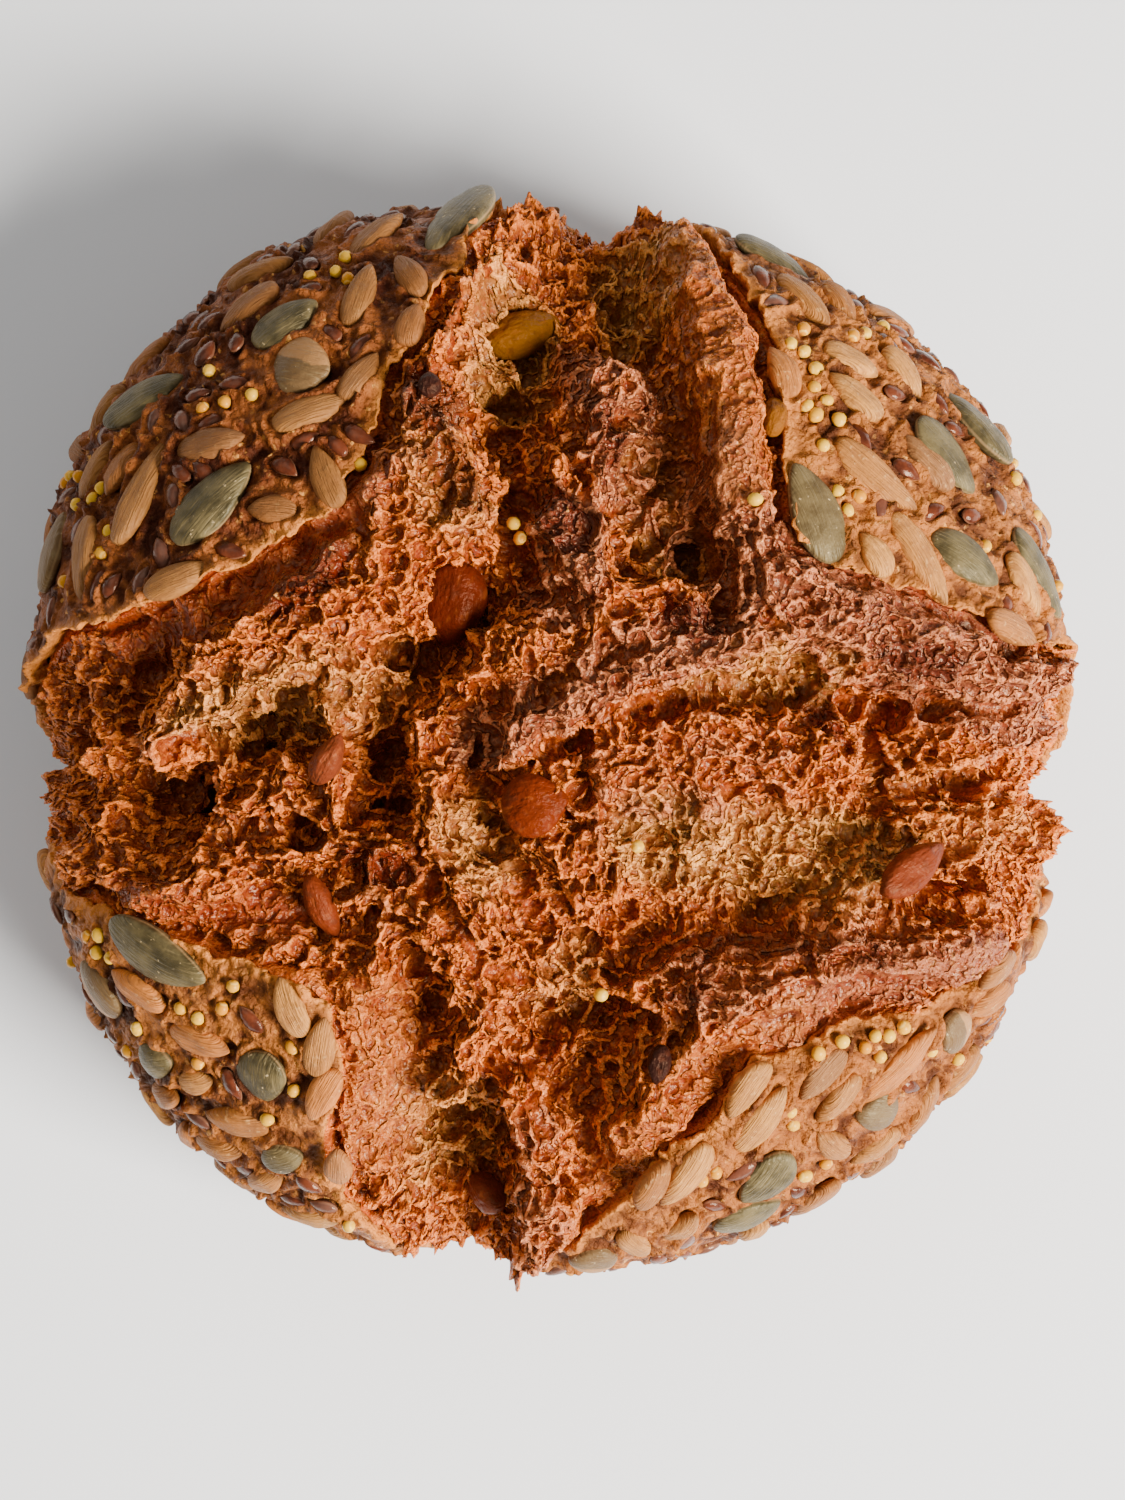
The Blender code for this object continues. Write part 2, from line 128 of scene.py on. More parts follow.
# Gas bubbles: each cell of a cubic lattice holds a ball of random place and radius. A point
# within one sinks by sqrt(R^2 - d^2), the height of the ball over it.
def bubbleDepth(points, cell, radii, share, shift):
    place = (points / cell + shift + 500.0).astype(np.float32)
    base = np.floor(place).astype(np.int64)
    deepest = np.zeros(len(points), np.float32)
    for step in np.ndindex(3, 3, 3):
        corner = base + step - 1
        ball = tableAt(bubbleTable, corner)
        radius = (radii[0] + (radii[1] - radii[0]) * ball[:, 3] ** 1.4) / cell
        gap = place - corner - ball[:, :3]
        depth = radius ** 2 - dots(gap, gap)
        deepest = np.maximum(deepest, np.where(ball[:, 4] < share, depth, 0))
    return np.sqrt(deepest) * cell


# Foam: cups round random places, one in each cell of a cubic lattice, of uneven size. A point
# sinks by depth x (0.75 - F1), where F1 is the square of the distance to the nearest place plus
# up to 0.25, so that the cups meet in sharp walls. The second array is high on the walls.
def foamCups(points, cell, depth, shift):
    place = (points / cell + shift + 500.0).astype(np.float32)
    base = np.floor(place).astype(np.int64)
    nearest = np.full(len(points), 9.0, np.float32)
    second = nearest.copy()
    for step in np.ndindex(3, 3, 3):
        corner = base + step - 1
        ball = tableAt(bubbleTable, corner)
        gap = (place - corner - ball[:, :3]).astype(np.float32)
        far = dots(gap, gap) + 0.25 * ball[:, 3]
        second = np.minimum(second, np.maximum(nearest, far))
        nearest = np.minimum(nearest, far)
    wall = np.exp((np.sqrt(nearest) - np.sqrt(second)) / 0.09)
    return cell * depth * np.clip(0.75 - nearest, 0, 0.75), wall


# Dome: superellipse arcs above and below the girth, with the run along the skin from the top.
def domeProfile():
    turn = np.linspace(0, np.pi / 2, 1500)
    upperR = dough["girthRadius"] * np.sin(turn) ** (2 / dough["domePower"])
    rise = dough["height"] - dough["girthHeight"]
    upperZ = dough["girthHeight"] + rise * np.cos(turn) ** (2 / dough["domePower"])
    lowerR = dough["girthRadius"] * np.cos(turn) ** (2 / dough["footPower"])
    lowerZ = dough["girthHeight"] - dough["footDip"] * np.sin(turn) ** (2 / dough["footPower"])
    radius = np.concatenate([upperR, lowerR[1:]])
    height = np.concatenate([upperZ, lowerZ[1:]])
    run = np.concatenate([[0.0], np.cumsum(np.hypot(np.diff(radius), np.diff(height)))])
    return run, radius, height


skinRun, skinRadius, skinHeight = domeProfile()
seenRadius = skinRadius * (dough["viewingHeight"] - dough["girthHeight"])
seenRadius /= dough["viewingHeight"] - skinHeight
rimIndex = int(np.argmax(seenRadius))
girthRun = skinRun[int(np.argmax(skinRadius))]
footRun = np.interp(0, -skinHeight, skinRun)     # where the skin reaches z = 0


# The outline is a circle with a few waves: R times 1 + sum of share x cos(count x (angle - turn)).
def outline(angle):
    waves = [share * np.cos(count * (angle - np.radians(turn)))
             for count, share, turn in dough["outlineWaves"]]
    return 1 + sum(waves)


# From places as seen from above to the unrolled skin: distance along it, in the same direction.
def toSkin(places):
    places = np.atleast_2d(np.asarray(places, float))
    far = np.hypot(places[:, 0], places[:, 1])
    seen = far / outline(np.arctan2(places[:, 1], places[:, 0]))
    run = np.interp(seen, seenRadius[:rimIndex + 1], skinRun[:rimIndex + 1])
    return places * (run / np.maximum(far, 1e-6))[:, None]


def domePoints(skin):
    run = np.hypot(skin[:, 0], skin[:, 1])
    angle = np.arctan2(skin[:, 1], skin[:, 0])
    radius = np.interp(run, skinRun, skinRadius) * outline(angle)
    height = np.interp(run, skinRun, skinHeight)
    return np.column_stack([radius * np.cos(angle), radius * np.sin(angle), height])


# Outward normals of the dome: square to the slope along the run, in the plane through the axis.
def domeNormals(skin):
    run = np.hypot(skin[:, 0], skin[:, 1])
    out = np.where(run[:, None] > 1e-4, skin / np.maximum(run, 1e-4)[:, None], [1.0, 0.0])
    step = 0.2
    rise = domePoints(out * (run + step)[:, None]) - domePoints(out * np.maximum(run - step, 0)[:, None])
    level = np.sum(rise[:, :2] * out, axis=1)
    return unit(np.column_stack([-rise[:, 2:3] * out, level]))


# The cross of torn crumb
cross = {
    # edges of the four crust flaps, from arm to arm, clockwise from the far arm
    "flapEdges": [
        [(22, 71), (28.5, 63.5), (32.5, 53.5), (31, 50.5), (34.5, 41), (34, 37), (36.5, 26),
         (49, 21), (61.5, 16.5), (65, 13.5), (73.5, 12)],
        [(72, -28.5), (60.5, -35.5), (50.5, -41), (42.5, -41), (35, -46.5), (29.5, -46.5),
         (23, -56.5), (17, -59), (12.5, -66), (2, -74), (-2, -79.5)],
        [(-20.5, -73.5), (-31.5, -62.5), (-30, -47.5), (-31.5, -40), (-34, -36.5), (-51.5, -30),
         (-63, -26), (-71.5, -20)],
        [(-72.5, 9.5), (-67, 14), (-62, 16), (-52, 20.5), (-42.5, 25), (-31.5, 31), (-24.5, 41),
         (-22.5, 50.5), (-17.5, 57.5), (-16, 63), (-11.5, 69), (-6.5, 77)],
    ],
    "armTurns": [-6, 261.5, 184, 84],            # the arm after each flap, in degrees
    "armEnd": 118.0,                             # how far along the skin the arms run
    "floor": 1.0,                                # how far the crumb starts below the crust's edge
    "depth": 9.5,                                # and how much deeper it gets away from it
    "slope": 14.0,
    "flank": (62.0, 84.0),                       # over the shoulder the cut gets shallower
    "flankShares": (0.85, 0.55, 0.6),            # floor, ridges and hollows shrink by this much
    "merge": 0.9,                                # how sharply neighbouring ridges merge
    "ceiling": 1.8,
    # half width, height and crest of each ridge
    "ridges": [
        (8.5, 12.0, [(-13, 37.5), (-21, 23.5), (-35.5, 13.5), (-49.5, 5.5), (-58, -1.5)]),
        (5.5, 11.0, [(-18, 48.5), (-15.5, 39), (-11, 31)]),
        (3.5, 9.0, [(-8, 68.5), (-13, 62), (-17.5, 52)]),
        (5.0, 3.0, [(-4, 75), (15.5, 73.5)]),
        (8.0, 8.5, [(13.5, 45), (9, 53), (6, 37.5)]),
        (6.0, 11.0, [(21.5, 63), (24, 53.5), (28.5, 30.5)]),
        (5.0, 6.0, [(18, 71), (21.5, 63)]),
        (7.0, 11.5, [(4, 30.5), (7.5, 22)]),
        (6.5, 12.5, [(-5.5, -0.5), (7.5, 6), (22, 12), (36, 16), (50.5, 17.5)]),
        (8.5, 10.5, [(-2.5, 12), (20.5, 19)]),
        (6.0, 8.5, [(-11, 6), (-6.5, 13.5)]),
        (8.5, 11.0, [(34.5, 20.5), (47.5, 12), (70, 6)]),
        (5.5, 11.0, [(56, -2.5), (72.5, -0.5)]),
        (9.0, 9.5, [(13.5, -4), (27.5, -1), (43.5, -4)]),
        (7.5, 10.0, [(22, -12.5), (10.5, -8), (-1, -9.5), (7.5, -21)]),
        (6.0, 7.5, [(57.5, -12.5), (73, -13), (67, -21)]),
        (5.0, 9.0, [(47.5, -21.5), (65, -18)]),
        (6.0, 10.0, [(16, -39.5), (43.5, -31), (65, -27.5)]),
        (5.5, 7.5, [(13.5, -52.5), (22, -39.5)]),
        (5.5, 10.5, [(-6.5, -54), (-0.5, -61), (-0.5, -78)]),
        (5.5, 9.5, [(-16.5, -28), (-9.5, -43), (-15.5, -52.5)]),
        (5.0, 9.5, [(-15.5, -14), (-6.5, -32.5)]),
        (5.0, 7.5, [(-21, -24), (-24, -32.5)]),
        (6.5, 8.0, [(-68, -16.5), (-35.5, -19.5), (-21, -21)]),
        (6.0, 7.0, [(-47, -9.5), (-37, -8)]),
        (4.0, 9.0, [(-34.5, 4.5), (-30.5, -15.5), (-21, -18)]),
        (5.0, 7.5, [(-16.5, 2), (-16.5, -14)]),
        (4.5, 7.0, [(13.5, -38), (-4, -35.5)]),
        (5.0, 5.5, [(-69.5, -4), (-65.5, 4.5)]),
        (5.0, 8.5, [(-76, -8), (-67, -12)]),
    ],
    # half width, depth and place of each hollow
    "hollows": [
        (3.4, 9.0, (-7, 53.5)), (7.0, 4.5, (-5, 64)), (3.2, 8.0, (22.5, 25)), (4.5, 4.0, (14, 71)),
        (3.0, 3.5, (15.5, 42)), (2.6, 7.0, (-55.5, -11.5)), (4.0, 6.0, (-25, -3)), (7.0, 3.0, (-45, -3)),
        (6.0, 3.0, (-61, -8)), (3.0, 4.0, (-24.5, 13.5)), (5.0, 3.5, (-24, -12.5)),
        (4.5, 5.0, (-9.5, -16.5)), (5.5, 5.0, (6, -36)), (4.5, 4.0, (2, -45)), (7.5, 5.5, (-15, -66)),
        (7.0, 1.5, (35, -22.5)), (4.0, 3.5, (50.5, -4)), (4.0, 3.0, (59, -8)),
    ],
}


def distanceToLine(skin, line):
    best = np.full(len(skin), np.inf)
    for start, end in zip(line[:-1], line[1:]):
        way = end - start
        share = np.clip(((skin - start) @ way) / (way @ way), 0, 1)
        gap = skin - start - share[:, None] * way
        best = np.minimum(best, dots(gap, gap))
    return np.sqrt(best)


# Distance to a closed outline, positive inside it; a point is inside where a ray to the right
# crosses the outline an odd number of times.
def insideDistance(skin, corners):
    inside = np.zeros(len(skin), bool)
    for start, end in zip(corners, np.roll(corners, -1, axis=0)):
        rise = end[1] - start[1]
        if rise != 0:
            crosses = (start[1] > skin[:, 1]) != (end[1] > skin[:, 1])
            place = (end[0] - start[0]) * (skin[:, 1] - start[1]) / rise + start[0]
            inside ^= crosses & (skin[:, 0] < place)
    distance = distanceToLine(skin, np.vstack([corners, corners[:1]]))
    return np.where(inside, distance, -distance)


def crossOutline():
    parts = []
    for edge, turn in zip(cross["flapEdges"], cross["armTurns"]):
        parts += [toSkin(edge), cross["armEnd"] * headings([np.radians(turn)])]
    return np.vstack(parts)


crossCorners = crossOutline()
ridgeLines = [(width, height, toSkin(line)) for width, height, line in cross["ridges"]]
hollowPlaces = [(width, depth, toSkin(place)[0]) for width, depth, place in cross["hollows"]]


def wander(points):
    return np.column_stack([
        1.6 * smoothNoise(points, 9.0, 3.1) + 0.7 * smoothNoise(points, 3.4, 8.7),
        1.6 * smoothNoise(points, 9.0, 5.7) + 0.7 * smoothNoise(points, 3.4, 1.9)])


def crustDistance(skin, points):
    return -insideDistance(skin + 0.6 * wander(points), crossCorners)


# Torn crumb: a floor that falls away from the crust's edge, ridges added to it by
# log(sum of exp(height)), hollows taken from it, and two sizes of noise.
def cragHeight(skin, points):
    outward = -crustDistance(skin, points)
    spread = np.hypot(points[:, 0], points[:, 1])
    spread += 0.25 * np.maximum(np.hypot(skin[:, 0], skin[:, 1]) - girthRun, 0)
    floorKept, ridgeKept, hollowKept = (1 - share * smoothStep(*cross["flank"], spread)
                                        for share in cross["flankShares"])
    floor = cross["floor"] + cross["depth"] * smoothStep(2, cross["slope"], outward)
    placed = skin + 1.3 * wander(points)
    merged = np.zeros(len(skin))
    for width, height, line in ridgeLines:
        crest = height * (1 - smoothStep(0.25, 1.25, distanceToLine(placed, line) / width))
        merged += np.exp(cross["merge"] * crest) - 1
    mass = np.log1p(merged) / cross["merge"]
    height = mass * ridgeKept - floor * floorKept
    for width, depth, place in hollowPlaces:
        gap = placed - place
        bowl = depth * (1 - smoothStep(0.35, 1.15, np.hypot(gap[:, 0], gap[:, 1]) / width))
        height -= bowl * hollowKept
    height += 1.3 * smoothNoise(points, 6.5, 2.2) + 0.7 * smoothNoise(points, 3.1, 6.1)
    height = np.minimum(height, cross["ceiling"] + 0.3 * height)
    return np.minimum(height, 1.3 * np.maximum(outward, -1) - 0.4), outward, mass


# Crust: a slow swell, curling up towards its torn edge by lip x exp(-distance / width).
crust = {
    "swell": 0.9,
    "lip": 0.9,
    "lipWidth": 3.0,
    # rows that roll the torn edge over: how far under the crust, how deep, and their room in the
    # unrolled plane
    "rolls": [(-0.15, 0.4, 0.3), (0.1, 1.0, 0.8), (2.3, 3.5, 1.4)],
    "pebbles": [(5.0, 0.4, 1.7), (2.1, 0.42, 4.2), (1.0, 0.26, 7.7)],    # size, height, shift
    "cell": 0.36,
    "lowest": 126.0,             # the flaps end here, along the skin, and the foot takes over
    "collar": (0.8, 0.35),       # height and width of the dough round a seed
    "edgeWave": (0.9, 1.6, 3.5),         # height, width and size of the wave along the torn edge
    "dipWidth": 1.4,
    "frays": [(2.4, 0.55, 2.9), (1.1, 0.4, 6.3)],        # how the torn edge is frayed
    # of the flaps, from the far right to the near right: tone, and how far the edge dips
    "tones": (0.9, 0.0, 0.8, 0.6),
    "dips": (0.0, 0.0, 1.0, 1.5),
    # colours where the tone is 0, and where it is 1
    "dark": ((0.042, 0.006, 0.002), (0.065, 0.015, 0.004)),
    "middle": ((0.120, 0.025, 0.006), (0.22, 0.062, 0.012)),
    "light": ((0.29, 0.080, 0.016), (0.50, 0.160, 0.028)),
    "speck": (0.85, 0.38, 0.08),
    "edge": (0.75, 0.25, 0.040),
}


def pebblesAt(points):
    return sum(rise * smoothNoise(points, size, shift) for size, rise, shift in crust["pebbles"])


def flapAt(skin):
    # 0 far right, 1 far left, 2 near left, 3 near right
    turns = np.degrees(np.arctan2(skin[:, 1], skin[:, 0])) % 360
    return np.searchsorted(np.sort(np.array(cross["armTurns"]) % 360), turns) % 4


def perFlap(name, skin):
    return np.array(crust[name])[flapAt(skin)]


def crustHeight(points, inside):
    curl = crust["lip"] * np.exp(-np.maximum(inside, 0) / crust["lipWidth"])
    return crust["swell"] * smoothNoise(points, 22.0, 4.4) + curl


# Meshes
def latticeOver(reach, cell, keepBlock):
    # places of a square lattice, and which of its blocks of 10 x 10 are worth working out
    count = int(2 * reach / cell / 10) + 1
    middles = (np.arange(count) + 0.5) * cell * 10 - reach
    blocks = np.stack(np.meshgrid(middles, middles, indexing="ij"), -1).reshape(-1, 2)
    keep = keepBlock(blocks).reshape(count, count)
    keep = np.repeat(np.repeat(keep, 10, axis=0), 10, axis=1)
    side = (np.arange(count * 10) + 0.5) * cell - reach
    return np.stack(np.meshgrid(side, side, indexing="ij"), -1), keep


def latticeQuads(keep):
    # the cells whose four corners are kept, by the numbers of the kept points, facing outwards
    number = np.zeros(keep.shape, np.int64)
    number[keep] = np.arange(np.count_nonzero(keep))
    corners = np.stack([number[:-1, :-1], number[1:, :-1], number[1:, 1:], number[:-1, 1:]], -1)
    return corners[keep[:-1, :-1] & keep[1:, :-1] & keep[1:, 1:] & keep[:-1, 1:]]


def perPoint(values, quads, count):
    # what the quads round each point hold, added up
    columns = values if values.ndim == 2 else values[:, None]
    total = np.zeros((count, columns.shape[1]))
    for axis in range(columns.shape[1]):
        for corner in range(quads.shape[1]):
            total[:, axis] += np.bincount(quads[:, corner], columns[:, axis], count)
    return total


# Normal of a point: the crosses of the diagonals of its quads, added and made unit length.
def pointNormals(points, quads, rounds=0):
    first, second, third, fourth = (points[quads[:, corner]] for corner in range(4))
    normals = unit(perPoint(np.cross(third - first, fourth - second), quads, len(points)))
    for _ in range(rounds):
        normals = unit(perPoint(normals[quads].mean(axis=1), quads, len(points)))
    return normals


def makePiece(name, points, faces, material, values=None, flat=None):
    # a mesh from arrays: faces is a list of arrays, each with the corners of one kind of polygon
    mesh = bpy.data.meshes.new(name)
    corners = np.concatenate([kind.ravel() for kind in faces]).astype(np.int32)
    sides = np.concatenate([np.full(len(kind), kind.shape[1]) for kind in faces]).astype(np.int32)
    mesh.vertices.add(len(points))
    placed = (points + (*dough["offset"], 0)) * mm
    mesh.vertices.foreach_set("co", placed.astype(np.float32).ravel())
    mesh.loops.add(len(corners))
    mesh.loops.foreach_set("vertex_index", corners)
    mesh.polygons.add(len(sides))
    mesh.polygons.foreach_set("loop_start", (np.cumsum(sides) - sides).astype(np.int32))
    mesh.polygons.foreach_set("loop_total", sides)
    mesh.update(calc_edges=True)
    mesh.shade_smooth()
    for label, numbers in (values or {}).items():
        layer = mesh.attributes.new(label, "FLOAT", "POINT")
        layer.data.foreach_set("value", numbers.astype(np.float32))
    if flat is not None:
        low, high = flat.min(axis=0), flat.max(axis=0)
        spread = ((flat - low) / (high - low).max() * 0.98 + 0.01).astype(np.float32)
        mesh.uv_layers.new(name="OFBake").data.foreach_set("uv", spread[corners].ravel())
    mesh.materials.append(material)
    piece = bpy.data.objects.new(name, mesh)
    bpy.context.scene.collection.objects.link(piece)
    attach(piece, "root")
    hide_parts("loaf")
    report(f"{name}: {np.sum(sides - 2)} triangles")


def makePieces(names, sector, quads, points, flat, values, material):
    # a piece for each sector of a surface, with the points that its quads use
    for number, name in enumerate(names):
        used, faces = np.unique(quads[sector == number], return_inverse=True)
        some = {label: numbers[used] for label, numbers in values.items()}
        makePiece(name, points[used], [faces.reshape(-1, 4)], material, some, flat[used])


# Shader maths
class Value:
    # one output of a node, with the operators that the finishes below use
    def __init__(self, finish, socket):
        self.finish = finish
        self.socket = socket

    def maths(self, operation, *others):
        inputs = dict(enumerate((self, *others)))
        return self.finish.node("ShaderNodeMath", {"operation": operation}, inputs)

    def __add__(self, other):
        return self.maths("ADD", other)

    __radd__ = __add__

    def __mul__(self, other):
        return self.maths("MULTIPLY", other)

    __rmul__ = __mul__

    def __sub__(self, other):
        return self.maths("SUBTRACT", other)

    def __rsub__(self, other):
        return self * -1 + other

    def between(self, low, high):
        # 0 below low, 1 above high, smooth between them
        settings = {"interpolation_type": "SMOOTHSTEP"}
        return self.finish.node("ShaderNodeMapRange", settings, {0: self, 1: low, 2: high})


class Finish:
    # a material and its nodes
    def __init__(self, name):
        self.material = bpy.data.materials.new(name)
        self.material.use_nodes = True
        self.tree = self.material.node_tree
        self.tree.nodes.clear()
        self.place = self.node("ShaderNodeTexCoord", output="Object")

    def node(self, kind, settings=None, inputs=None, output=0):
        made = self.tree.nodes.new(kind)
        for label, setting in (settings or {}).items():
            if label == "stops":
                ramp = made.color_ramp
                while len(ramp.elements) < len(setting):
                    ramp.elements.new(0.5)
                for element, (position, colour) in zip(ramp.elements, setting):
                    element.position = position
                    element.color = (*colour, 1)
            else:
                setattr(made, label, setting)
        for label, value in (inputs or {}).items():
            socket = made.inputs[label]
            if isinstance(value, Value):
                self.tree.links.new(value.socket, socket)
            elif isinstance(value, tuple) and socket.type == "RGBA":
                socket.default_value = (*value, 1)
            else:
                socket.default_value = value
        return Value(self, made.outputs[output]) if made.outputs else None

    def attribute(self, name):
        return self.node("ShaderNodeAttribute", {"attribute_name": name}, output="Fac")

    def noise(self, size, detail=2.0, roughness=0.55):
        # size in millimetres
        inputs = {"Vector": self.place, "Scale": 1 / (size * mm), "Detail": detail, "Roughness": roughness}
        return self.node("ShaderNodeTexNoise", None, inputs)

    def cells(self, size, output=0, pull=0.0):
        # size in millimetres; output 0 is the distance from a cell's middle and 1 its own random
        # shade; noise drags the cells about by up to half of the pull
        place = self.place
        if pull:
            inputs = {"Vector": self.place, "Scale": 1 / (2.5 * size * mm), "Detail": 2.0}
            drift = self.node("ShaderNodeTexNoise", None, inputs, 1)
            inputs = {0: drift, 1: (pull * mm,) * 3, 2: self.place}
            place = self.node("ShaderNodeVectorMath", {"operation": "MULTIPLY_ADD"}, inputs)
        inputs = {"Vector": place, "Scale": 1 / (size * mm)}
        return self.node("ShaderNodeTexVoronoi", None, inputs, output)

    def mix(self, share, first, second):
        return self.node("ShaderNodeMix", {"data_type": "RGBA"}, {0: share, 6: first, 7: second}, 2)

    def coats(self, colour, *coats):
        # each coat is how much of it lies over what came before, and its colour
        for share, coat in coats:
            colour = self.mix(share, colour, coat)
        return colour

    def bumps(self, *layers):
        # height and distance in millimetres of each, one on top of the other
        normal = {}
        for height, distance in layers:
            inputs = {"Height": height, "Distance": distance * mm, **normal}
            normal = {"Normal": self.node("ShaderNodeBump", None, inputs)}
        return normal

    def close(self, colour, roughness, level, tint, normal):
        inputs = {"Base Color": colour, "Roughness": roughness, "Specular IOR Level": level,
                  "Specular Tint": tint, **normal}
        surface = self.node("ShaderNodeBsdfPrincipled", None, inputs)
        self.node("ShaderNodeOutputMaterial", None, {"Surface": surface})
        return self.material


# Finishes
def crumbFinish():
    # Torn crumb: orange where broad, patches and grain together are high and dark red where they
    # are low, golden by the tan attribute plus patches, mauve brown by the rosy one, burnt by
    # the char one. Pores (pit, and wherever fine, broad or the net of cells is low) turn it
    # dark: painted shade in the pits and hollows. Walls (wall, fine and the net) turn it bright,
    # partly their own paler colour and partly painted highlight and glow of light through them,
    # and random glints on top are painted highlights. Fine, broad, crest, wall and pit are
    # measured on the mesh.
    made = Finish("toasted_crumb")
    fine, broad, crest, wall = (made.attribute(name) for name in ("fine", "broad", "crest", "wall"))
    tan, rosy, char, skin = (made.attribute(name) for name in ("tan", "rosy", "char", "skin"))
    patches, grain, dust = made.noise(8.0, 3.0), made.noise(1.6, 3.0), made.noise(0.45, 2.0, 0.7)
    pits, speck = made.cells(0.55, pull=0.8), made.cells(0.62, output=1)
    toast = broad * 0.5 + patches * 1.1 + grain * 0.6 + dust * 0.5 - 0.75 - crest * 0.15
    toast = toast.between(0.0, 0.75)
    golden = (tan * 1.15 + patches * 0.9 - 0.5) * (0.6 + grain * 0.7)
    hot = (rosy * 0.75 + patches * 1.3 - 0.85 + broad * 0.3).between(0.0, 0.5)
    scorched = (char + (patches * 1.5 - 1.02) * 0.9 + broad * 0.15).between(0.15, 0.75)
    burst = (grain * 1.2 + patches * 0.6 - 0.4).between(0.2, 0.8)
    # Painted shade: pores darken deep inside the cups, in low places and in the middles of the cells
    poreShade = made.attribute("pit") * (0.75 + grain * 0.5) + (fine * -1.0).between(0.05, 0.8) * 0.4
    poreShade += (broad * -1.0).between(0.12, 0.9) * 0.65
    poreShade += pits.between(0.45, 0.15) * (1 - skin) * 0.18
    poreShade = poreShade.between(0.1, 0.85)
    # Bright walls: partly their own paler colour, partly painted highlight and glow of light through the
    # thin walls, more on raised parts
    rim = wall * (0.25 + fine.between(-0.2, 0.6)) + pits.between(0.55, 0.8) * 0.25
    rim = (rim + broad.between(-0.1, 0.7) * 0.12) * (1 - scorched * 0.85)
    # Painted highlight: small random glints on raised crumb outside the pores, in the pale tan rim colour
    paintedGlint = speck.between(0.7, 0.95) * (1 - poreShade) * (0.2 + broad.between(-0.2, 0.8) * 0.4)
    hollowShade = made.mix(hot, made.mix(golden, crumb["poreShade"], crumb["tanPoreShade"]), crumb["roastPoreShade"])
    bright = made.mix(hot, made.mix(golden, crumb["rim"], crumb["tanRim"]), crumb["rosyRim"])
    colour = made.coats(
        made.mix(toast, crumb["deep"], crumb["middle"]),
        (golden, made.mix(toast, crumb["tanDeep"], crumb["tan"])),
        (hot * 0.88, made.mix(grain.between(0.4, 0.62), crumb["roast"], crumb["rosy"])),
        (scorched * 0.85, crumb["char"]),
        (skin * (0.6 + grain * 0.4), made.mix(rosy, crumb["skin"], crumb["skinPale"])),
        (made.attribute("grained") * 0.9, made.mix(burst, crumb["grainDark"], crumb["grain"])),
        (poreShade * 0.93, hollowShade),
        (rim * (0.4 + grain * 0.9) * (1 - skin * 0.6), bright),
        (paintedGlint, crumb["tanRim"]),
        (speck.between(0.38, 0.1) * 0.35, crumb["deep"]))
    rough = 0.25 + fine.between(-0.2, 0.4) * 0.75
    bumps = made.bumps((made.noise(0.8, 3.0, 0.65) * rough, 0.45), (pits * rough, 0.35), (dust, 0.14))
    roughness = 0.28 - grain.between(0.4, 0.7) * 0.1 - hot * 0.05
    return made.close(colour, roughness, 0.42, (1.0, 0.68, 0.42), bumps)


def crustFinish():
    # Crust: dark, middle or light brown by two noises plus the rise of the pebbles, so darker in
    # the dips between them and lighter on their tops as painted shade and light, with pale
    # grains of bran where random cells and the finer noise are high, and light along the torn
    # edge. The tone attribute makes the far left flap redder and darker.
    made = Finish("baked_crust")
    edge, rise, tone = (made.attribute(name) for name in ("edge", "rise", "tone"))
    mottle, grain = made.noise(5.0, 4.0, 0.62), made.noise(1.2, 3.0, 0.6)
    speck = made.cells(0.75, output=1)
    dark, middle, light = (made.mix(tone, *crust[name]) for name in ("dark", "middle", "light"))
    bran = speck.between(0.78, 0.95) * grain.between(0.45, 0.62)
    colour = made.coats(
        # the rise term paints shade into the dips between the pebbles and light onto their tops
        made.mix((mottle * 1.1 + rise * 0.6 - 0.4).between(0.1, 0.65), dark, middle),
        ((grain * 0.8 + rise * 0.7 - 0.05).between(0.5, 0.95) * 0.8, light),
        (bran * 0.75, crust["speck"]),
        (speck.between(0.3, 0.1) * 0.45, dark),
        (edge * (0.3 + grain * 0.8), crust["edge"]))
    bumps = made.bumps((made.noise(1.3, 4.0, 0.7), 0.9), (1 - made.cells(0.75), 0.3))
    return made.close(colour, 0.58 - grain.between(0.4, 0.7) * 0.2, 0.26, (1.0, 0.66, 0.40), bumps)


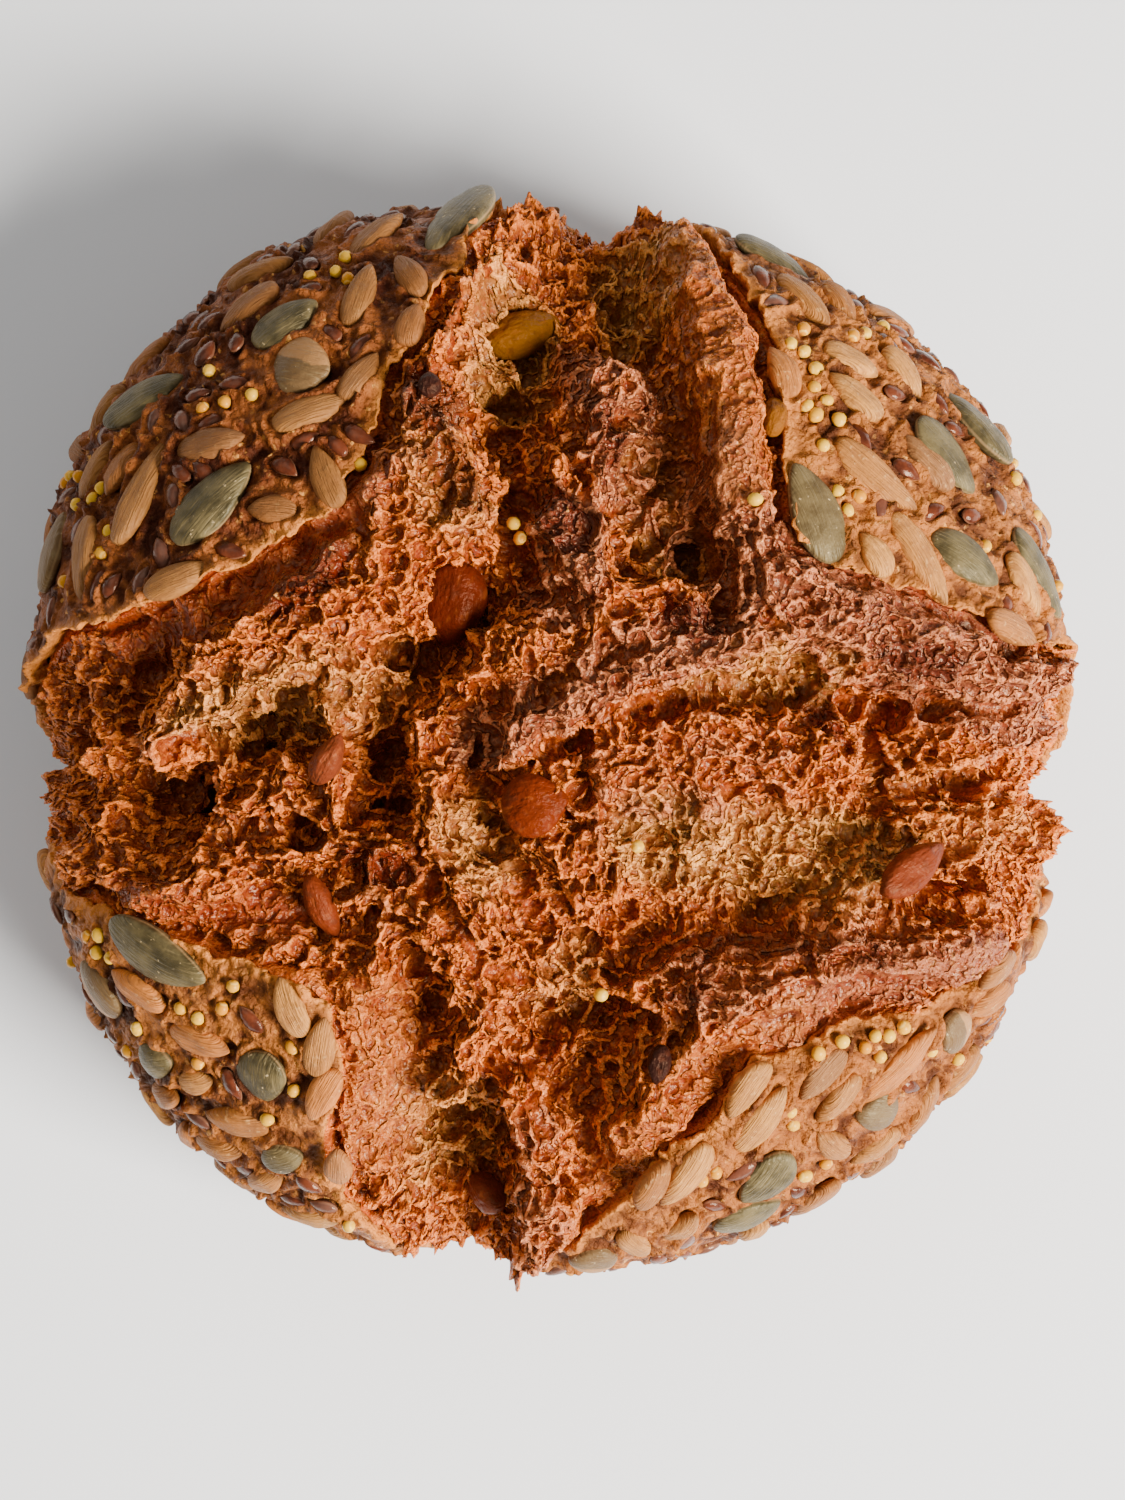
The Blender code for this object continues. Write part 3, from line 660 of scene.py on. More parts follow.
# Crumb
crumb = {
    "cell": 0.186,
    "under": 3.6,                # reaches this far under the crust's edge
    "calmer": (0.8, 0.65),       # how much the relief fades on stretched skin and on fine grains
    "ledges": (3.2, 1.7),        # spacing and drop of the torn layers
    "ledgeNoise": [(11.0, 1.3, 4.9), (2.6, 0.35, 7.3)],  # size, height in spacings, shift
    "smoothing": 0.9,            # of the normals that the relief moves along, in square millimetres
    "creases": [(6.0, 1.3, 1.3), (2.7, 0.5, 5.9)],       # size, height, shift
    "warps": [(4.0, 1.1), (1.4, 0.4)],                   # size and reach of the pull on the pores
    "holes": (7.6, (1.2, 3.2), 0.4, 0.75),   # cell, radii, share of cells with one, share of its depth
    # cell, depth as a share of it, and how much painted shade darkens the cups inside
    "foam": [(3.4, 0.8, 0.6), (1.75, 1.1, 0.9), (0.95, 0.85, 0.75)],
    "calmed": (0.6, 0.45, 0.25, 0.1),  # how much shallower each size is on the baked crests
    "tips": (0.6, 0.4),          # size and height of the ragged tips on the walls
    # how the colours tell high from low: rounds of smoothing, more rounds, and the full height
    "reliefs": {"fine": (1, 1, 0.3), "broad": (6, 4, 1.1)},
    "pieces": 6,
    "deep": (0.27, 0.025, 0.004),
    "middle": (0.56, 0.103, 0.013),
    # rim colours: the walls' paler tone with painted highlight in it
    "rim": (0.90, 0.215, 0.022),
    # colours of the painted shade inside the pores: plain, on tan and on roasted crumb
    "poreShade": (0.085, 0.005, 0.0015),
    "tanPoreShade": (0.120, 0.032, 0.006),
    "roastPoreShade": (0.060, 0.009, 0.005),
    "roast": (0.14, 0.023, 0.011),
    "rosy": (0.33, 0.083, 0.031),
    "rosyRim": (0.72, 0.225, 0.078),
    "tanDeep": (0.26, 0.074, 0.011),
    "tan": (0.56, 0.185, 0.026),
    "tanRim": (0.92, 0.39, 0.085),
    "char": (0.022, 0.0060, 0.0040),
    "skin": (0.115, 0.022, 0.009),
    "skinPale": (0.32, 0.092, 0.034),
    "grainDark": (0.22, 0.046, 0.010),
    "grain": (0.50, 0.145, 0.026),
    # patches of colour: half width, strength and the way along
    "tanPatches": [
        (6.5, 0.8, [(-3, 66), (-6, 55)]), (7, 0.8, [(12, 72), (16, 67)]), (5, 0.7, [(15, 42), (19, 28)]),
        (5, 0.85, [(22, 10.5), (41, 9)]), (8, 0.95, [(17, -16), (32, -20), (48, -19)]),
        (6, 0.7, [(-50, 1), (-31, 7)]), (8, 0.7, [(-16, -56), (-15, -68)]), (5, 0.5, [(2, -43), (4, -36)]),
        (5, 0.7, [(-12, -14), (-8, -20)]), (4, 0.5, [(-26, 2), (-22, 10)]),
        (6, 0.45, [(-17, 44), (-12, 33)]), (8, 0.35, [(54, -12), (70, -12)]),
    ],
    "rosyPatches": [
        (10, 1.0, [(31, 24), (42, 18), (56, 12), (71, 3)]),
        (6, 0.9, [(-9, -1), (2, 5), (13, 10.5), (30, 16)]), (7, 1.0, [(4, 30), (2, 22)]),
        (9, 0.8, [(8, 57), (15, 38), (24, 32)]), (4, 0.8, [(26, 30), (25, 42)]),
        (5, 0.9, [(34, -42), (46, -37), (62, -31)]), (7, 0.6, [(22, -36), (50, -30)]),
        (8, 0.5, [(10, -8), (30, -6)]), (6, 0.5, [(-28, 36), (-18, 44)]), (6, 0.5, [(-2, -60), (-1, -74)]),
    ],
    "charPatches": [
        (3.6, 1.2, [(-17, 50), (-16, 46)]), (3.2, 1.2, [(20, 17.5), (23, 16)]),
        (3.6, 1.2, [(39.5, 5), (42, 0)]), (4.0, 1.0, [(4, 29), (1, 34)]),
        (3.8, 1.0, [(-38, 19), (-31, 24)]), (3.4, 0.9, [(49, 11), (57, 8)]),
        (3.6, 0.9, [(-14, 40), (-11, 34)]), (3.2, 0.9, [(-30, -19), (-20, -20)]),
        (3.2, 0.8, [(8, 50), (11, 42)]),
        (4, 0.55, [(12, 60), (18, 44)]), (3.5, 0.7, [(16, -39.5), (28, -32.5), (46, -31)]),
        (4, 0.5, [(52, 6), (66, 0)]), (3, 0.6, [(16, -46), (18, -42)]), (5, 0.4, [(-58, -16), (-30, -21)]),
    ],
    # bands of stretched skin beside the crust, and of dough that only burst into fine grains
    "skinBands": [
        (4.0, 0.9, [(-44, 21), (-33, 27), (-26, 36)]), (4.0, 0.8, [(-62, 12), (-48, 19)]),
        (3.6, 0.8, [(34, -42), (44, -37), (62, -31)]), (3.5, 0.6, [(36, 27), (56, 15)]),
        (3.5, 0.7, [(-60, -23), (-38, -29)]),
    ],
    "grainBands": [
        (6.0, 1.0, [(20, 69), (24.5, 56), (27, 45), (28.5, 35)]), (6.0, 1.0, [(-25, -40), (-24, -62)]),
        (4.6, 0.9, [(4, -72), (13, -60), (24, -48), (34, -42)]),
    ],
}


def alongBands(skin, bands):
    # the strongest of the bands at each point, fading over their half width
    found = np.zeros(len(skin))
    for width, strength, line in bands:
        share = distanceToLine(skin, toSkin(line)) / width
        found = np.maximum(found, strength * (1 - smoothStep(0.45, 1.25, share)))
    return found


# How far each point stands above its neighbourhood, along its normal: the point less the mean
# of the points round it, averaged over and over.
def standOut(points, normals, quads, rounds):
    counts = np.bincount(quads.ravel(), minlength=len(points))[:, None]
    level = points
    for _ in range(rounds):
        level = perPoint(level[quads].mean(axis=1), quads, len(points)) / counts
    return dots(points - level, normals)


# Crumb surface: the crags cut into ledges, then creases, bubble holes and ever smaller cups.
# Each is worked out where the last one left the surface, and moves it along the crags' own
# normals, taken smooth over about a millimetre so that no wall folds over.
def makeCrumb():
    cell = crumb["cell"]

    def nearCross(blocks):
        return insideDistance(blocks, crossCorners) > -crumb["under"] - 10 * cell - 2

    grid, keep = latticeOver(cross["armEnd"] + 3, cell, nearCross)
    skin = grid[keep]
    base = domePoints(skin)
    height, outward, mass = cragHeight(skin, base)
    inUse = outward > -crumb["under"]
    keep[keep] = inUse
    skin, base, height, outward, mass = (each[inUse] for each in (skin, base, height, outward, mass))
    quads = latticeQuads(keep)
    report(f"crumb lattice of {len(skin)} points")

    rooted = 1 - smoothStep(0.5, -1.0, outward)             # calm under the crust
    skinned, grained = (alongBands(skin + 0.7 * wander(base), crumb[bands])
                        for bands in ("skinBands", "grainBands"))
    baked = alongBands(skin, crumb["rosyPatches"])
    rough = rooted * (1 - crumb["calmer"][0] * skinned) * (1 - crumb["calmer"][1] * grained)
    spacing, drop = crumb["ledges"]
    layer = height / spacing
    for size, rise, shift in crumb["ledgeNoise"]:
        layer += rise * smoothNoise(base, size, shift)
    part = layer - np.floor(layer)
    torn = smoothStep(-0.3, 0.3, smoothNoise(base, 9.0, 8.1)) * rough
    height += drop * (smoothStep(0.0, 0.22, part) - part) * torn
    points = base + domeNormals(skin) * height[:, None]
    rounds = int(crumb["smoothing"] / cell ** 2)
    outwards = unit(pointNormals(points, quads, rounds) + domeNormals(skin))
    for size, rise, shift in crumb["creases"]:
        points += outwards * (rise * (ridgeNoise(points, size, shift) - 0.5) * rough)[:, None]
    walls, light = np.zeros(len(skin)), np.ones(len(skin))
    for number, calmed in enumerate(crumb["calmed"]):
        warped = points.copy()
        for size, pull in crumb["warps"]:
            warped += pull * np.column_stack([smoothNoise(points, size, 2.7 + axis) for axis in range(3)])
        if number == 0:
            size, radii, share, kept = crumb["holes"]
            depth = kept * bubbleDepth(warped, size, radii, share, 0.0)
        else:
            size, deep, dark = crumb["foam"][number - 1]
            depth, wall = foamCups(warped, size, deep, 3.3 * number)
            walls = np.maximum(walls * 0.85, wall)
            # painted shade: the deeper inside a cup, the darker its colour, kept as the pit attribute
            light *= 1 - dark * smoothStep(0.12, 0.42, depth / (deep * size))
        points = points - outwards * (depth * rough * (1 - calmed * baked))[:, None]
        report(f"pores of {size} mm")
    size, rise = crumb["tips"]
    tips = np.clip(smoothNoise(points, size, 9.1), 0, 1) * walls * np.maximum(rough, 0.8 * grained)
    points += outwards * (rise * tips)[:, None]
    values = {
        "wall": walls * rough, "pit": (1 - light) * np.maximum(rough, 0.4 * grained),
        "crest": np.clip(mass / 12 + smoothNoise(base, 4.0, 5.5) * 0.15, 0, 1), "skin": skinned,
        "grained": grained, "tan": alongBands(skin, crumb["tanPatches"]), "rosy": baked,
        "char": alongBands(skin + wander(base), crumb["charPatches"]),
    }
    normals = pointNormals(points, quads, 4)
    for label, (times, more, full) in crumb["reliefs"].items():
        stands = standOut(points, normals, quads, int(times * (0.55 / cell) ** 2) + more)
        values[label] = np.clip(stands / full, -1, 1)
    middle = skin[quads[:, 0]]
    turns = np.arctan2(middle[:, 1], middle[:, 0])
    bounds = np.quantile(turns, np.linspace(0, 1, crumb["pieces"] + 1)[1:-1])
    names = [f"crumb_{number + 1}" for number in range(crumb["pieces"])]
    sector = np.searchsorted(bounds, turns)
    makePieces(names, sector, quads, points, skin, values, crumbFinish())


# Crust flaps: swell and curl, pebbles in three sizes, and a collar of dough round each seed,
# height x exp(-((distance - 1) / width)^2) in half widths of the seed. At the torn edge the
# crust rolls over and runs back under itself.
def makeCrust(seeds):
    cell = crust["cell"]

    def onFlaps(blocks):
        return np.hypot(blocks[:, 0], blocks[:, 1]) < crust["lowest"] + 10 * cell

    grid, keep = latticeOver(crust["lowest"] + 2 * cell, cell, onFlaps)
    skin = grid[keep]
    base = domePoints(skin)
    inside = crustDistance(skin, base) + sum(reach * smoothNoise(base, size, shift)
                                             for size, reach, shift in crust["frays"])
    field = np.full(keep.shape, -9.0)
    field[keep] = inside
    slope = np.stack(np.gradient(field, cell), -1)[keep]
    slope /= np.maximum(dots(slope, slope), 0.2)[:, None]
    nearEnough = (inside > -1.2 * cell) & (np.hypot(skin[:, 0], skin[:, 1]) < crust["lowest"] + cell)
    keep[keep] = nearEnough
    skin, inside, slope = skin[nearEnough], inside[nearEnough], slope[nearEnough]
    quads = latticeQuads(keep)
    quads = quads[(inside[quads] > 0).any(axis=1)]
    skin = np.where(inside[:, None] < 0, skin - slope * inside[:, None], skin)
    inside = np.maximum(inside, 0)
    report(f"crust lattice of {len(skin)} points")

    base, out = domePoints(skin), domeNormals(skin)
    height = crustHeight(base, inside)
    wave, width, size = crust["edgeWave"]
    height += wave * np.exp(-inside / width) * smoothNoise(base, size, 6.6)
    height -= perFlap("dips", skin) * np.exp(-inside / crust["dipWidth"])
    pebbles = pebblesAt(base)
    height += pebbles
    surface = base + out * height[:, None]
    rise, fade = crust["collar"]
    for seed in seeds:
        gap = surface - seed["middle"]
        near = np.flatnonzero(dots(gap, gap) < (0.5 * seed["length"] + 1.2) ** 2)
        gap = gap[near]
        along = np.clip(gap @ seed["along"], -0.42 * seed["length"], 0.42 * seed["length"])
        rest = gap - along[:, None] * seed["along"]
        rest -= (rest @ seed["normal"])[:, None] * seed["normal"]
        beside = np.linalg.norm(rest, axis=1) / (0.5 * seed["width"])
        height[near] += rise * np.exp(-((beside - 1.0) / fade) ** 2) * min(1, seed["width"] / 3)
    surface = base + out * height[:, None]

    # the torn edge: sides that only one quad has get three more rows of quads
    sides = np.concatenate([quads[:, [side, (side + 1) % 4]] for side in range(4)])
    keys = sides.min(axis=1) * len(skin) + sides.max(axis=1)
    _, first, counts = np.unique(keys, return_index=True, return_counts=True)
    border = sides[first[counts == 1]]
    border = border[(np.hypot(*skin[border].transpose(2, 0, 1)) < crust["lowest"] - 2).all(axis=1)]
    rim, ends = np.unique(border, return_inverse=True)
    start, end = ends.reshape(-1, 2).T
    inward = slope[rim] / np.maximum(np.linalg.norm(slope[rim], axis=1), 1e-6)[:, None]
    rings, flats, faces, upper = [surface], [skin], [quads], rim
    for number, (back, drop, spread) in enumerate(crust["rolls"]):
        rings.append(domePoints(skin[rim] + inward * back) + out[rim] * (height[rim] - drop)[:, None])
        flats.append(skin[rim] - inward * spread)
        lower = len(skin) + number * len(rim) + np.arange(len(rim))
        faces.append(np.column_stack([upper[end], upper[start], lower[start], lower[end]]))
        upper = lower
    quads, flat = np.vstack(faces), np.vstack(flats)
    rolled = len(rim) * len(crust["rolls"])
    values = {
        "edge": np.concatenate([np.exp(-inside / 0.7), np.ones(rolled)]),
        "rise": np.concatenate([0.5 + pebbles, np.full(rolled, 0.5)]),
        "tone": perFlap("tones", flat),
    }
    names = [f"crust_{place}" for place in ("far_right", "far_left", "near_left", "near_right")]
    sector = flapAt(flat[quads[:, 0]])
    makePieces(names, sector, quads, np.vstack(rings), flat, values, crustFinish())


# Seeds
seedKinds = {
    # size: length, width and thickness of the median seed; widening: the width grows with this
    # power of the length; sunk: share of the thickness below the crust; scattered: how many lie
    # by the rule, and how many places each tries; belly: how much fuller the first end is;
    # blunt: powers of the two ends, where a low one is round; section: the same for its cross
    # section; groove: depth, place and width of the lines along it; rough: height of its bumps
    "pumpkin": {"size": (12.5, 6.6, 3.2), "widening": 0.1, "sunk": 0.35, "scattered": 16, "tries": 40,
                "belly": 0.14, "blunt": (0.5, 0.62), "section": 0.62, "groove": (0.16, 0.82, 0.08),
                "rough": 0.12, "grid": (32, 18)},
    "sunflower": {"size": (9.5, 4.2, 3.2), "widening": 0.25, "sunk": 0.35, "scattered": 30, "tries": 40,
                  "belly": 0.16, "blunt": (0.42, 0.72), "section": 0.8, "groove": (0.2, 0.12, 0.14),
                  "rough": 0.16, "grid": (24, 18)},
    "linseed": {"size": (4.6, 2.6, 1.6), "widening": 0.5, "sunk": 0.25, "scattered": 360, "tries": 3,
                "belly": 0.2, "blunt": (0.5, 0.8), "section": 0.7, "groove": (0.0, 0.0, 1.0),
                "rough": 0.0, "grid": (8, 7)},
    "millet": {"size": (2.1, 2.0, 1.9), "widening": 0.5, "sunk": 0.15, "scattered": 110, "tries": 2,
               "belly": 0.0, "blunt": (0.5, 0.5), "section": 1.0, "groove": (0.0, 0.0, 1.0),
               "rough": 0.0, "grid": (8, 6)},
    "roasted": {"size": (9.0, 5.0, 3.6), "sunk": 0.6, "belly": 0.15, "blunt": (0.5, 0.7),
                "section": 0.8, "groove": (0.12, 0.1, 0.15), "rough": 0.45, "grid": (28, 18)},
}
roundBelow = 9.5                 # pumpkin seeds shorter than this lie on end and look round
roundWidth = 0.88                # width of those, as a share of their length
leastRoom = (0.8, 0.78)          # for seeds laid by the rule and in clusters, in half widths
seedRange = (40.0, 118.0)        # the scattered seeds lie this far along the skin from the top
# how the scattered linseeds are shared out: first and last turn of each flap, and its share
linseedShares = ((84, 184, 0.46), (184, 261.5, 0.22), (261.5, 354, 0.16), (-6, 84, 0.16))

# Seeds that the photograph shows one by one: place as seen from above, turn in degrees, length
pumpkinSeeds = [
    (-12.5, 73, 35, 18.5), (-34.5, 52, -15, 9), (-57, 47, 38, 13.5), (-47.5, 32.5, 49, 15.5),
    (-37, 58, 30, 10), (-69.5, 25.5, 80, 11.5), (57, 39.5, -50, 13.5), (61, 43, -57, 14.5),
    (38, 31, -65, 13.5), (69.5, 22.5, -66, 14.5), (59.5, 24.5, -42, 11), (32, 67.5, -22, 12),
    (-55, -31, -33, 17.5), (-63.5, -36.5, -60, 10), (-55.5, -47, 0, 6.5), (-40, -49, 90, 8),
    (-37.5, -60.5, 0, 6), (46.5, -54, 0, 7), (57.5, -42.5, 90, 7), (31, -63, 50, 11),
    (28.5, -68.5, 25, 10), (6.5, -74.5, 0, 7),
]
sunflowerSeeds = [
    (-42, 60, 33, 10.5), (-47.5, 41, 12, 11), (-57.5, 34, 70, 16), (-33.5, 45.5, 22, 11.5),
    (-26.5, 62, 65, 10), (-19, 57.5, 70, 6.5), (-52, 21.5, 28, 10.5), (-65, 24.5, 80, 13),
    (-39, 31.5, 0, 6.5), (-26.5, 50.5, 50, 8), (36.5, 61, -48, 10.5), (50.5, 51, -50, 8.5),
    (47, 36.5, -42, 15), (54.5, 38.5, -50, 10.5), (53, 24.5, -62, 14), (46.5, 25, -60, 7),
    (65.5, 14.5, -28, 10.5), (33, 50.5, -65, 8), (-58, -36.5, -38, 9.5), (-36, -39, -65, 9),
    (-32, -44.5, 80, 9), (-31.5, -51.5, 62, 9), (-29.5, -61, 90, 7), (-46.5, -59, -20, 9),
    (-33.5, -68, -15, 10), (-50, -50, 0, 6), (28.5, -50.5, 55, 9.5), (30.5, -54.5, 57, 12),
    (15, -63.5, 52, 8.5), (19.5, -62.5, 49, 11.5), (50, -47, 52, 14.5), (40.5, -58, -35, 7.5),
    (38, -66.5, 45, 13.5), (63, -33.5, 36, 9), (39, -48.5, 45, 8.5), (53.5, -53, 60, 10.5),
    (12.5, -72.5, -28, 7),
]
# Millet lies in clusters: place, spread and how many
milletClusters = [
    (37, 53, 3.5, 9), (44, 55, 2.5, 4), (39, 46, 4, 6), (42, 33, 2.5, 6), (31, 36, 2, 3),
    (38, 27, 2, 3), (64, 24, 2, 3), (-46, 45, 6, 5), (-65, 35, 3, 7), (-61, 27, 2.5, 4),
    (-29, 62, 6, 6), (-44, -35, 6, 4), (-63, -31, 4, 6), (-54, -45, 5, 5), (-38, -50, 5, 4),
    (40, -43, 3, 7), (22, -62, 2.5, 8), (49, -45, 3.5, 8), (55, -45, 3, 5), (38, -56, 5, 5),
]
# Seeds and lumps in the torn crumb: place, turn, length, width, thickness and shade, where 0 is
# brown, 0.25 ochre, 0.5 orange, 0.75 red brown and 1 burnt
crumbSeeds = [
    (-13.5, 18, 80, 13.0, 8.5, 7.5, 0.0), (-3.5, 57.5, 35, 12.0, 5.5, 6.5, 0.25),
    (-32, -25.5, -69, 10.0, 4.0, 4.0, 0.62), (-1.5, -10.5, 10, 9.5, 8.0, 4.0, 0.5),
    (-31.5, -4, 60, 7.5, 4.0, 4.0, 0.75), (53, -19.5, 25, 12.5, 5.2, 4.5, 0.66),
    (-16.7, 49.8, 90, 3.8, 3.0, 3.0, 1.0), (-8.9, -66, -30, 7.0, 4.6, 5.0, 0.8),
    (16.2, -47.5, 80, 5.2, 3.0, 3.6, 1.0), (32.5, 45.5, 80, 6.5, 3.6, 4.0, 0.3),
]
crumbMillet = [(12.5, -16.5), (-4, 29.5), (8.3, -37.5), (-3.2, 27.2), (30, 33), (-26, 38)]
# More kernels, and linseeds, in the same way; the fifth number is how the kernels lie, in degrees
kernelClusters = [
    (44, -50, 7, 7, 50), (34, -60, 7, 6, 48), (54, -44, 6, 5, 52), (24, -66, 5, 4, 45),
    (61, -36, 4, 3, 55), (47, -58, 5, 4, 50), (-46, -50, 9, 5, 20), (-36, -64, 6, 3, -20),
    (46, 46, 8, 5, -50), (58, 32, 7, 4, -55), (66, 20, 4, 2, -65), (38, 60, 6, 3, -45),
    (-40, 64, 7, 3, 20), (-62, 38, 6, 3, 60),
]
linseedClusters = [
    (-30, 66, 6, 10), (-44, 53, 7, 16), (-50, 40, 8, 12), (-60, 44, 5, 10), (-66, 33, 4, 9),
    (-52, 27, 5, 12), (-36, 40, 6, 12), (-28, 48, 5, 10), (-62, 22, 4, 8), (-38, 26, 4, 8),
    (42, 49, 5, 9), (46, 43, 5, 6),
    (33, 60, 5, 7), (60, 31, 4, 7), (52, 30, 4, 6), (64, 19, 3, 5), (41, 64, 4, 6), (55, 46, 4, 7),
    (-38, -46, 4, 9), (-45, -52, 5, 12), (-53, -42, 4, 9), (-60, -40, 4, 8), (-40, -58, 5, 9),
    (-50, -57, 5, 8), (-34, -64, 4, 6), (34, -52, 4, 6), (42, -52, 5, 8), (34, -60, 5, 6), (50, -50, 5, 6),
    (25, -64, 4, 5), (57, -37, 4, 5), (50, 36, 5, 9), (40, 40, 4, 7), (36, 52, 4, 7), (56, 22, 4, 6),
    (46, 56, 5, 7), (38, -50, 5, 8), (46, -57, 5, 8), (30, -66, 4, 6), (60, -41, 4, 6),
]


def crumbFrames(places, turns):
    # where seeds lie in the crumb: on the crags, taken smooth over two millimetres
    def onCrags(skin):
        base = domePoints(skin)
        return base + domeNormals(skin) * cragHeight(skin, base)[0][:, None]

    step, normals = headings(turns), domeNormals(places)
    ahead, behind = onCrags(places + step), onCrags(places - step)
    along = unit(ahead - behind)
    return (ahead + behind) / 2, unit(normals - along * dots(along, normals)[:, None]), along


def crustFrames(places, turns):
    # where seeds lie on the crust: their middles, outward normals and ways along
    def onCrust(skin):
        base = domePoints(skin)
        return base + domeNormals(skin) * crustHeight(base, crustDistance(skin, base))[:, None]

    step, normals = 0.5 * headings(turns), domeNormals(places)
    along = onCrust(places + step) - onCrust(places - step)
    return onCrust(places), normals, unit(along - normals * dots(along, normals)[:, None])


def seedRow(kind, frame, size, **more):
    labels = ("middle", "normal", "along", "length", "width", "thickness")
    return {"kind": kind, **dict(zip(labels, (*frame, *size))), **more}


def seedRows(kind, places, turns, lengths):
    median = seedKinds[kind]["size"]
    rows = []
    for *frame, length in zip(*crustFrames(places, turns), lengths):
        width = median[1] * (length / median[0]) ** seedKinds[kind]["widening"]
        if kind == "pumpkin" and length < roundBelow:
            width = roundWidth * length
        rows.append(seedRow(kind, frame, (length, width, median[2])))
    return rows


def clearance(rows, laid):
    # the least gap from each row to the seeds already laid, as a share of the two half widths
    reach = np.array([-0.36, 0, 0.36])[:, None]
    others = np.vstack([other["middle"] + reach * other["length"] * other["along"] for other in laid])
    widths = np.repeat([other["width"] for other in laid], 3)
    gaps = []
    for row in rows:
        spots = row["middle"] + reach * row["length"] * row["along"]
        apart = np.linalg.norm(spots[:, None] - others[None], axis=2)
        gaps.append((apart / (0.5 * (row["width"] + widths))).min())
    return gaps


def fitsCrust(places, length):
    return crustDistance(places, domePoints(places)) > 0.3 * length


# Seeds laid by a rule: for each, a few random places are tried on the crust, and the one with
# the most room is kept.
def scatter(kind, draw, laid, count, tries, shares=None):
    size = seedKinds[kind]["size"]
    for _ in range(count):
        run = draw.uniform(*seedRange, tries)
        first, last = (0, 360)
        if shares:
            chosen = draw.choice(len(shares), p=[share[2] for share in shares])
            first, last = shares[chosen][:2]
        angle = np.radians(draw.uniform(first, last, tries))
        length = size[0] * draw.uniform(0.85, 1.15)
        turns = draw.uniform(0, np.pi, tries)
        places = headings(angle) * run[:, None]
        fits = fitsCrust(places, length)
        if fits.any():
            rows = seedRows(kind, places[fits], turns[fits], np.full(fits.sum(), length))
            gaps = clearance(rows, laid)
            best = int(np.argmax(gaps))
            if gaps[best] > leastRoom[0]:
                laid.append(rows[best])


def layClusters(kind, clusters, draw, laid):
    length = seedKinds[kind]["size"][0]
    for x, y, spread, count, *lie in clusters:
        for _ in range(count):
            spots = toSkin(np.array([x, y]) + draw.normal(0, 0.6 * spread, (6, 2)))
            fits = fitsCrust(spots, length)
            if fits.any():
                lengths = length * draw.uniform(0.85, 1.1, fits.sum())
                turns = draw.uniform(0, np.pi, fits.sum())
                if lie:
                    turns = np.radians(draw.normal(lie[0], 22, fits.sum()))
                rows = seedRows(kind, spots[fits], turns, lengths)
                gaps = clearance(rows, laid)
                if max(gaps) > leastRoom[1]:
                    laid.append(rows[int(np.argmax(gaps))])


def laySeeds():
    laid = []
    for kind, places in (("pumpkin", pumpkinSeeds), ("sunflower", sunflowerSeeds)):
        for x, y, turn, length in places:
            start, ahead = toSkin([(x, y), (x, y) + headings([np.radians(turn)])[0]])
            heading = np.arctan2(*(ahead - start)[::-1])
            laid += seedRows(kind, start[None], np.array([heading]), [length])
    draw = np.random.default_rng(7)
    for kind in ("pumpkin", "sunflower"):
        scatter(kind, draw, laid, seedKinds[kind]["scattered"], seedKinds[kind]["tries"])
    layClusters("sunflower", kernelClusters, np.random.default_rng(19), laid)
    layClusters("millet", milletClusters, np.random.default_rng(23), laid)
    draw = np.random.default_rng(31)
    scatter("sunflower", draw, laid, 26, 6)
    layClusters("linseed", linseedClusters, draw, laid)
    for kind, shares in (("linseed", linseedShares), ("millet", None)):
        scatter(kind, draw, laid, seedKinds[kind]["scattered"], seedKinds[kind]["tries"], shares)
    for kind in ("pumpkin", "sunflower", "linseed", "millet"):
        report(f"{sum(row['kind'] == kind for row in laid)} {kind} seeds on the crust")
    return laid


def crumbPlace(seen):
    # the place on the skin whose crag is seen there, found by moving it over by what it misses
    place = np.array(seen, float)
    for _ in range(5):
        spot = crumbFrames(toSkin(place), np.zeros(1))[0][0]
        scale = (dough["viewingHeight"] - dough["girthHeight"]) / (dough["viewingHeight"] - spot[2])
        place += 0.8 * (seen - spot[:2] * scale)
    return toSkin(place)


def layCrumbSeeds():
    laid = []
    for x, y, turn, *size, shade in crumbSeeds:
        frame = [part[0] for part in crumbFrames(crumbPlace((x, y)), np.radians([turn]))]
        laid.append(seedRow("roasted", frame, size, tint=shade))
    for place in crumbMillet:
        frame = [part[0] for part in crumbFrames(crumbPlace(place), np.zeros(1))]
        laid.append(seedRow("millet", frame, seedKinds["millet"]["size"]))
    return laid


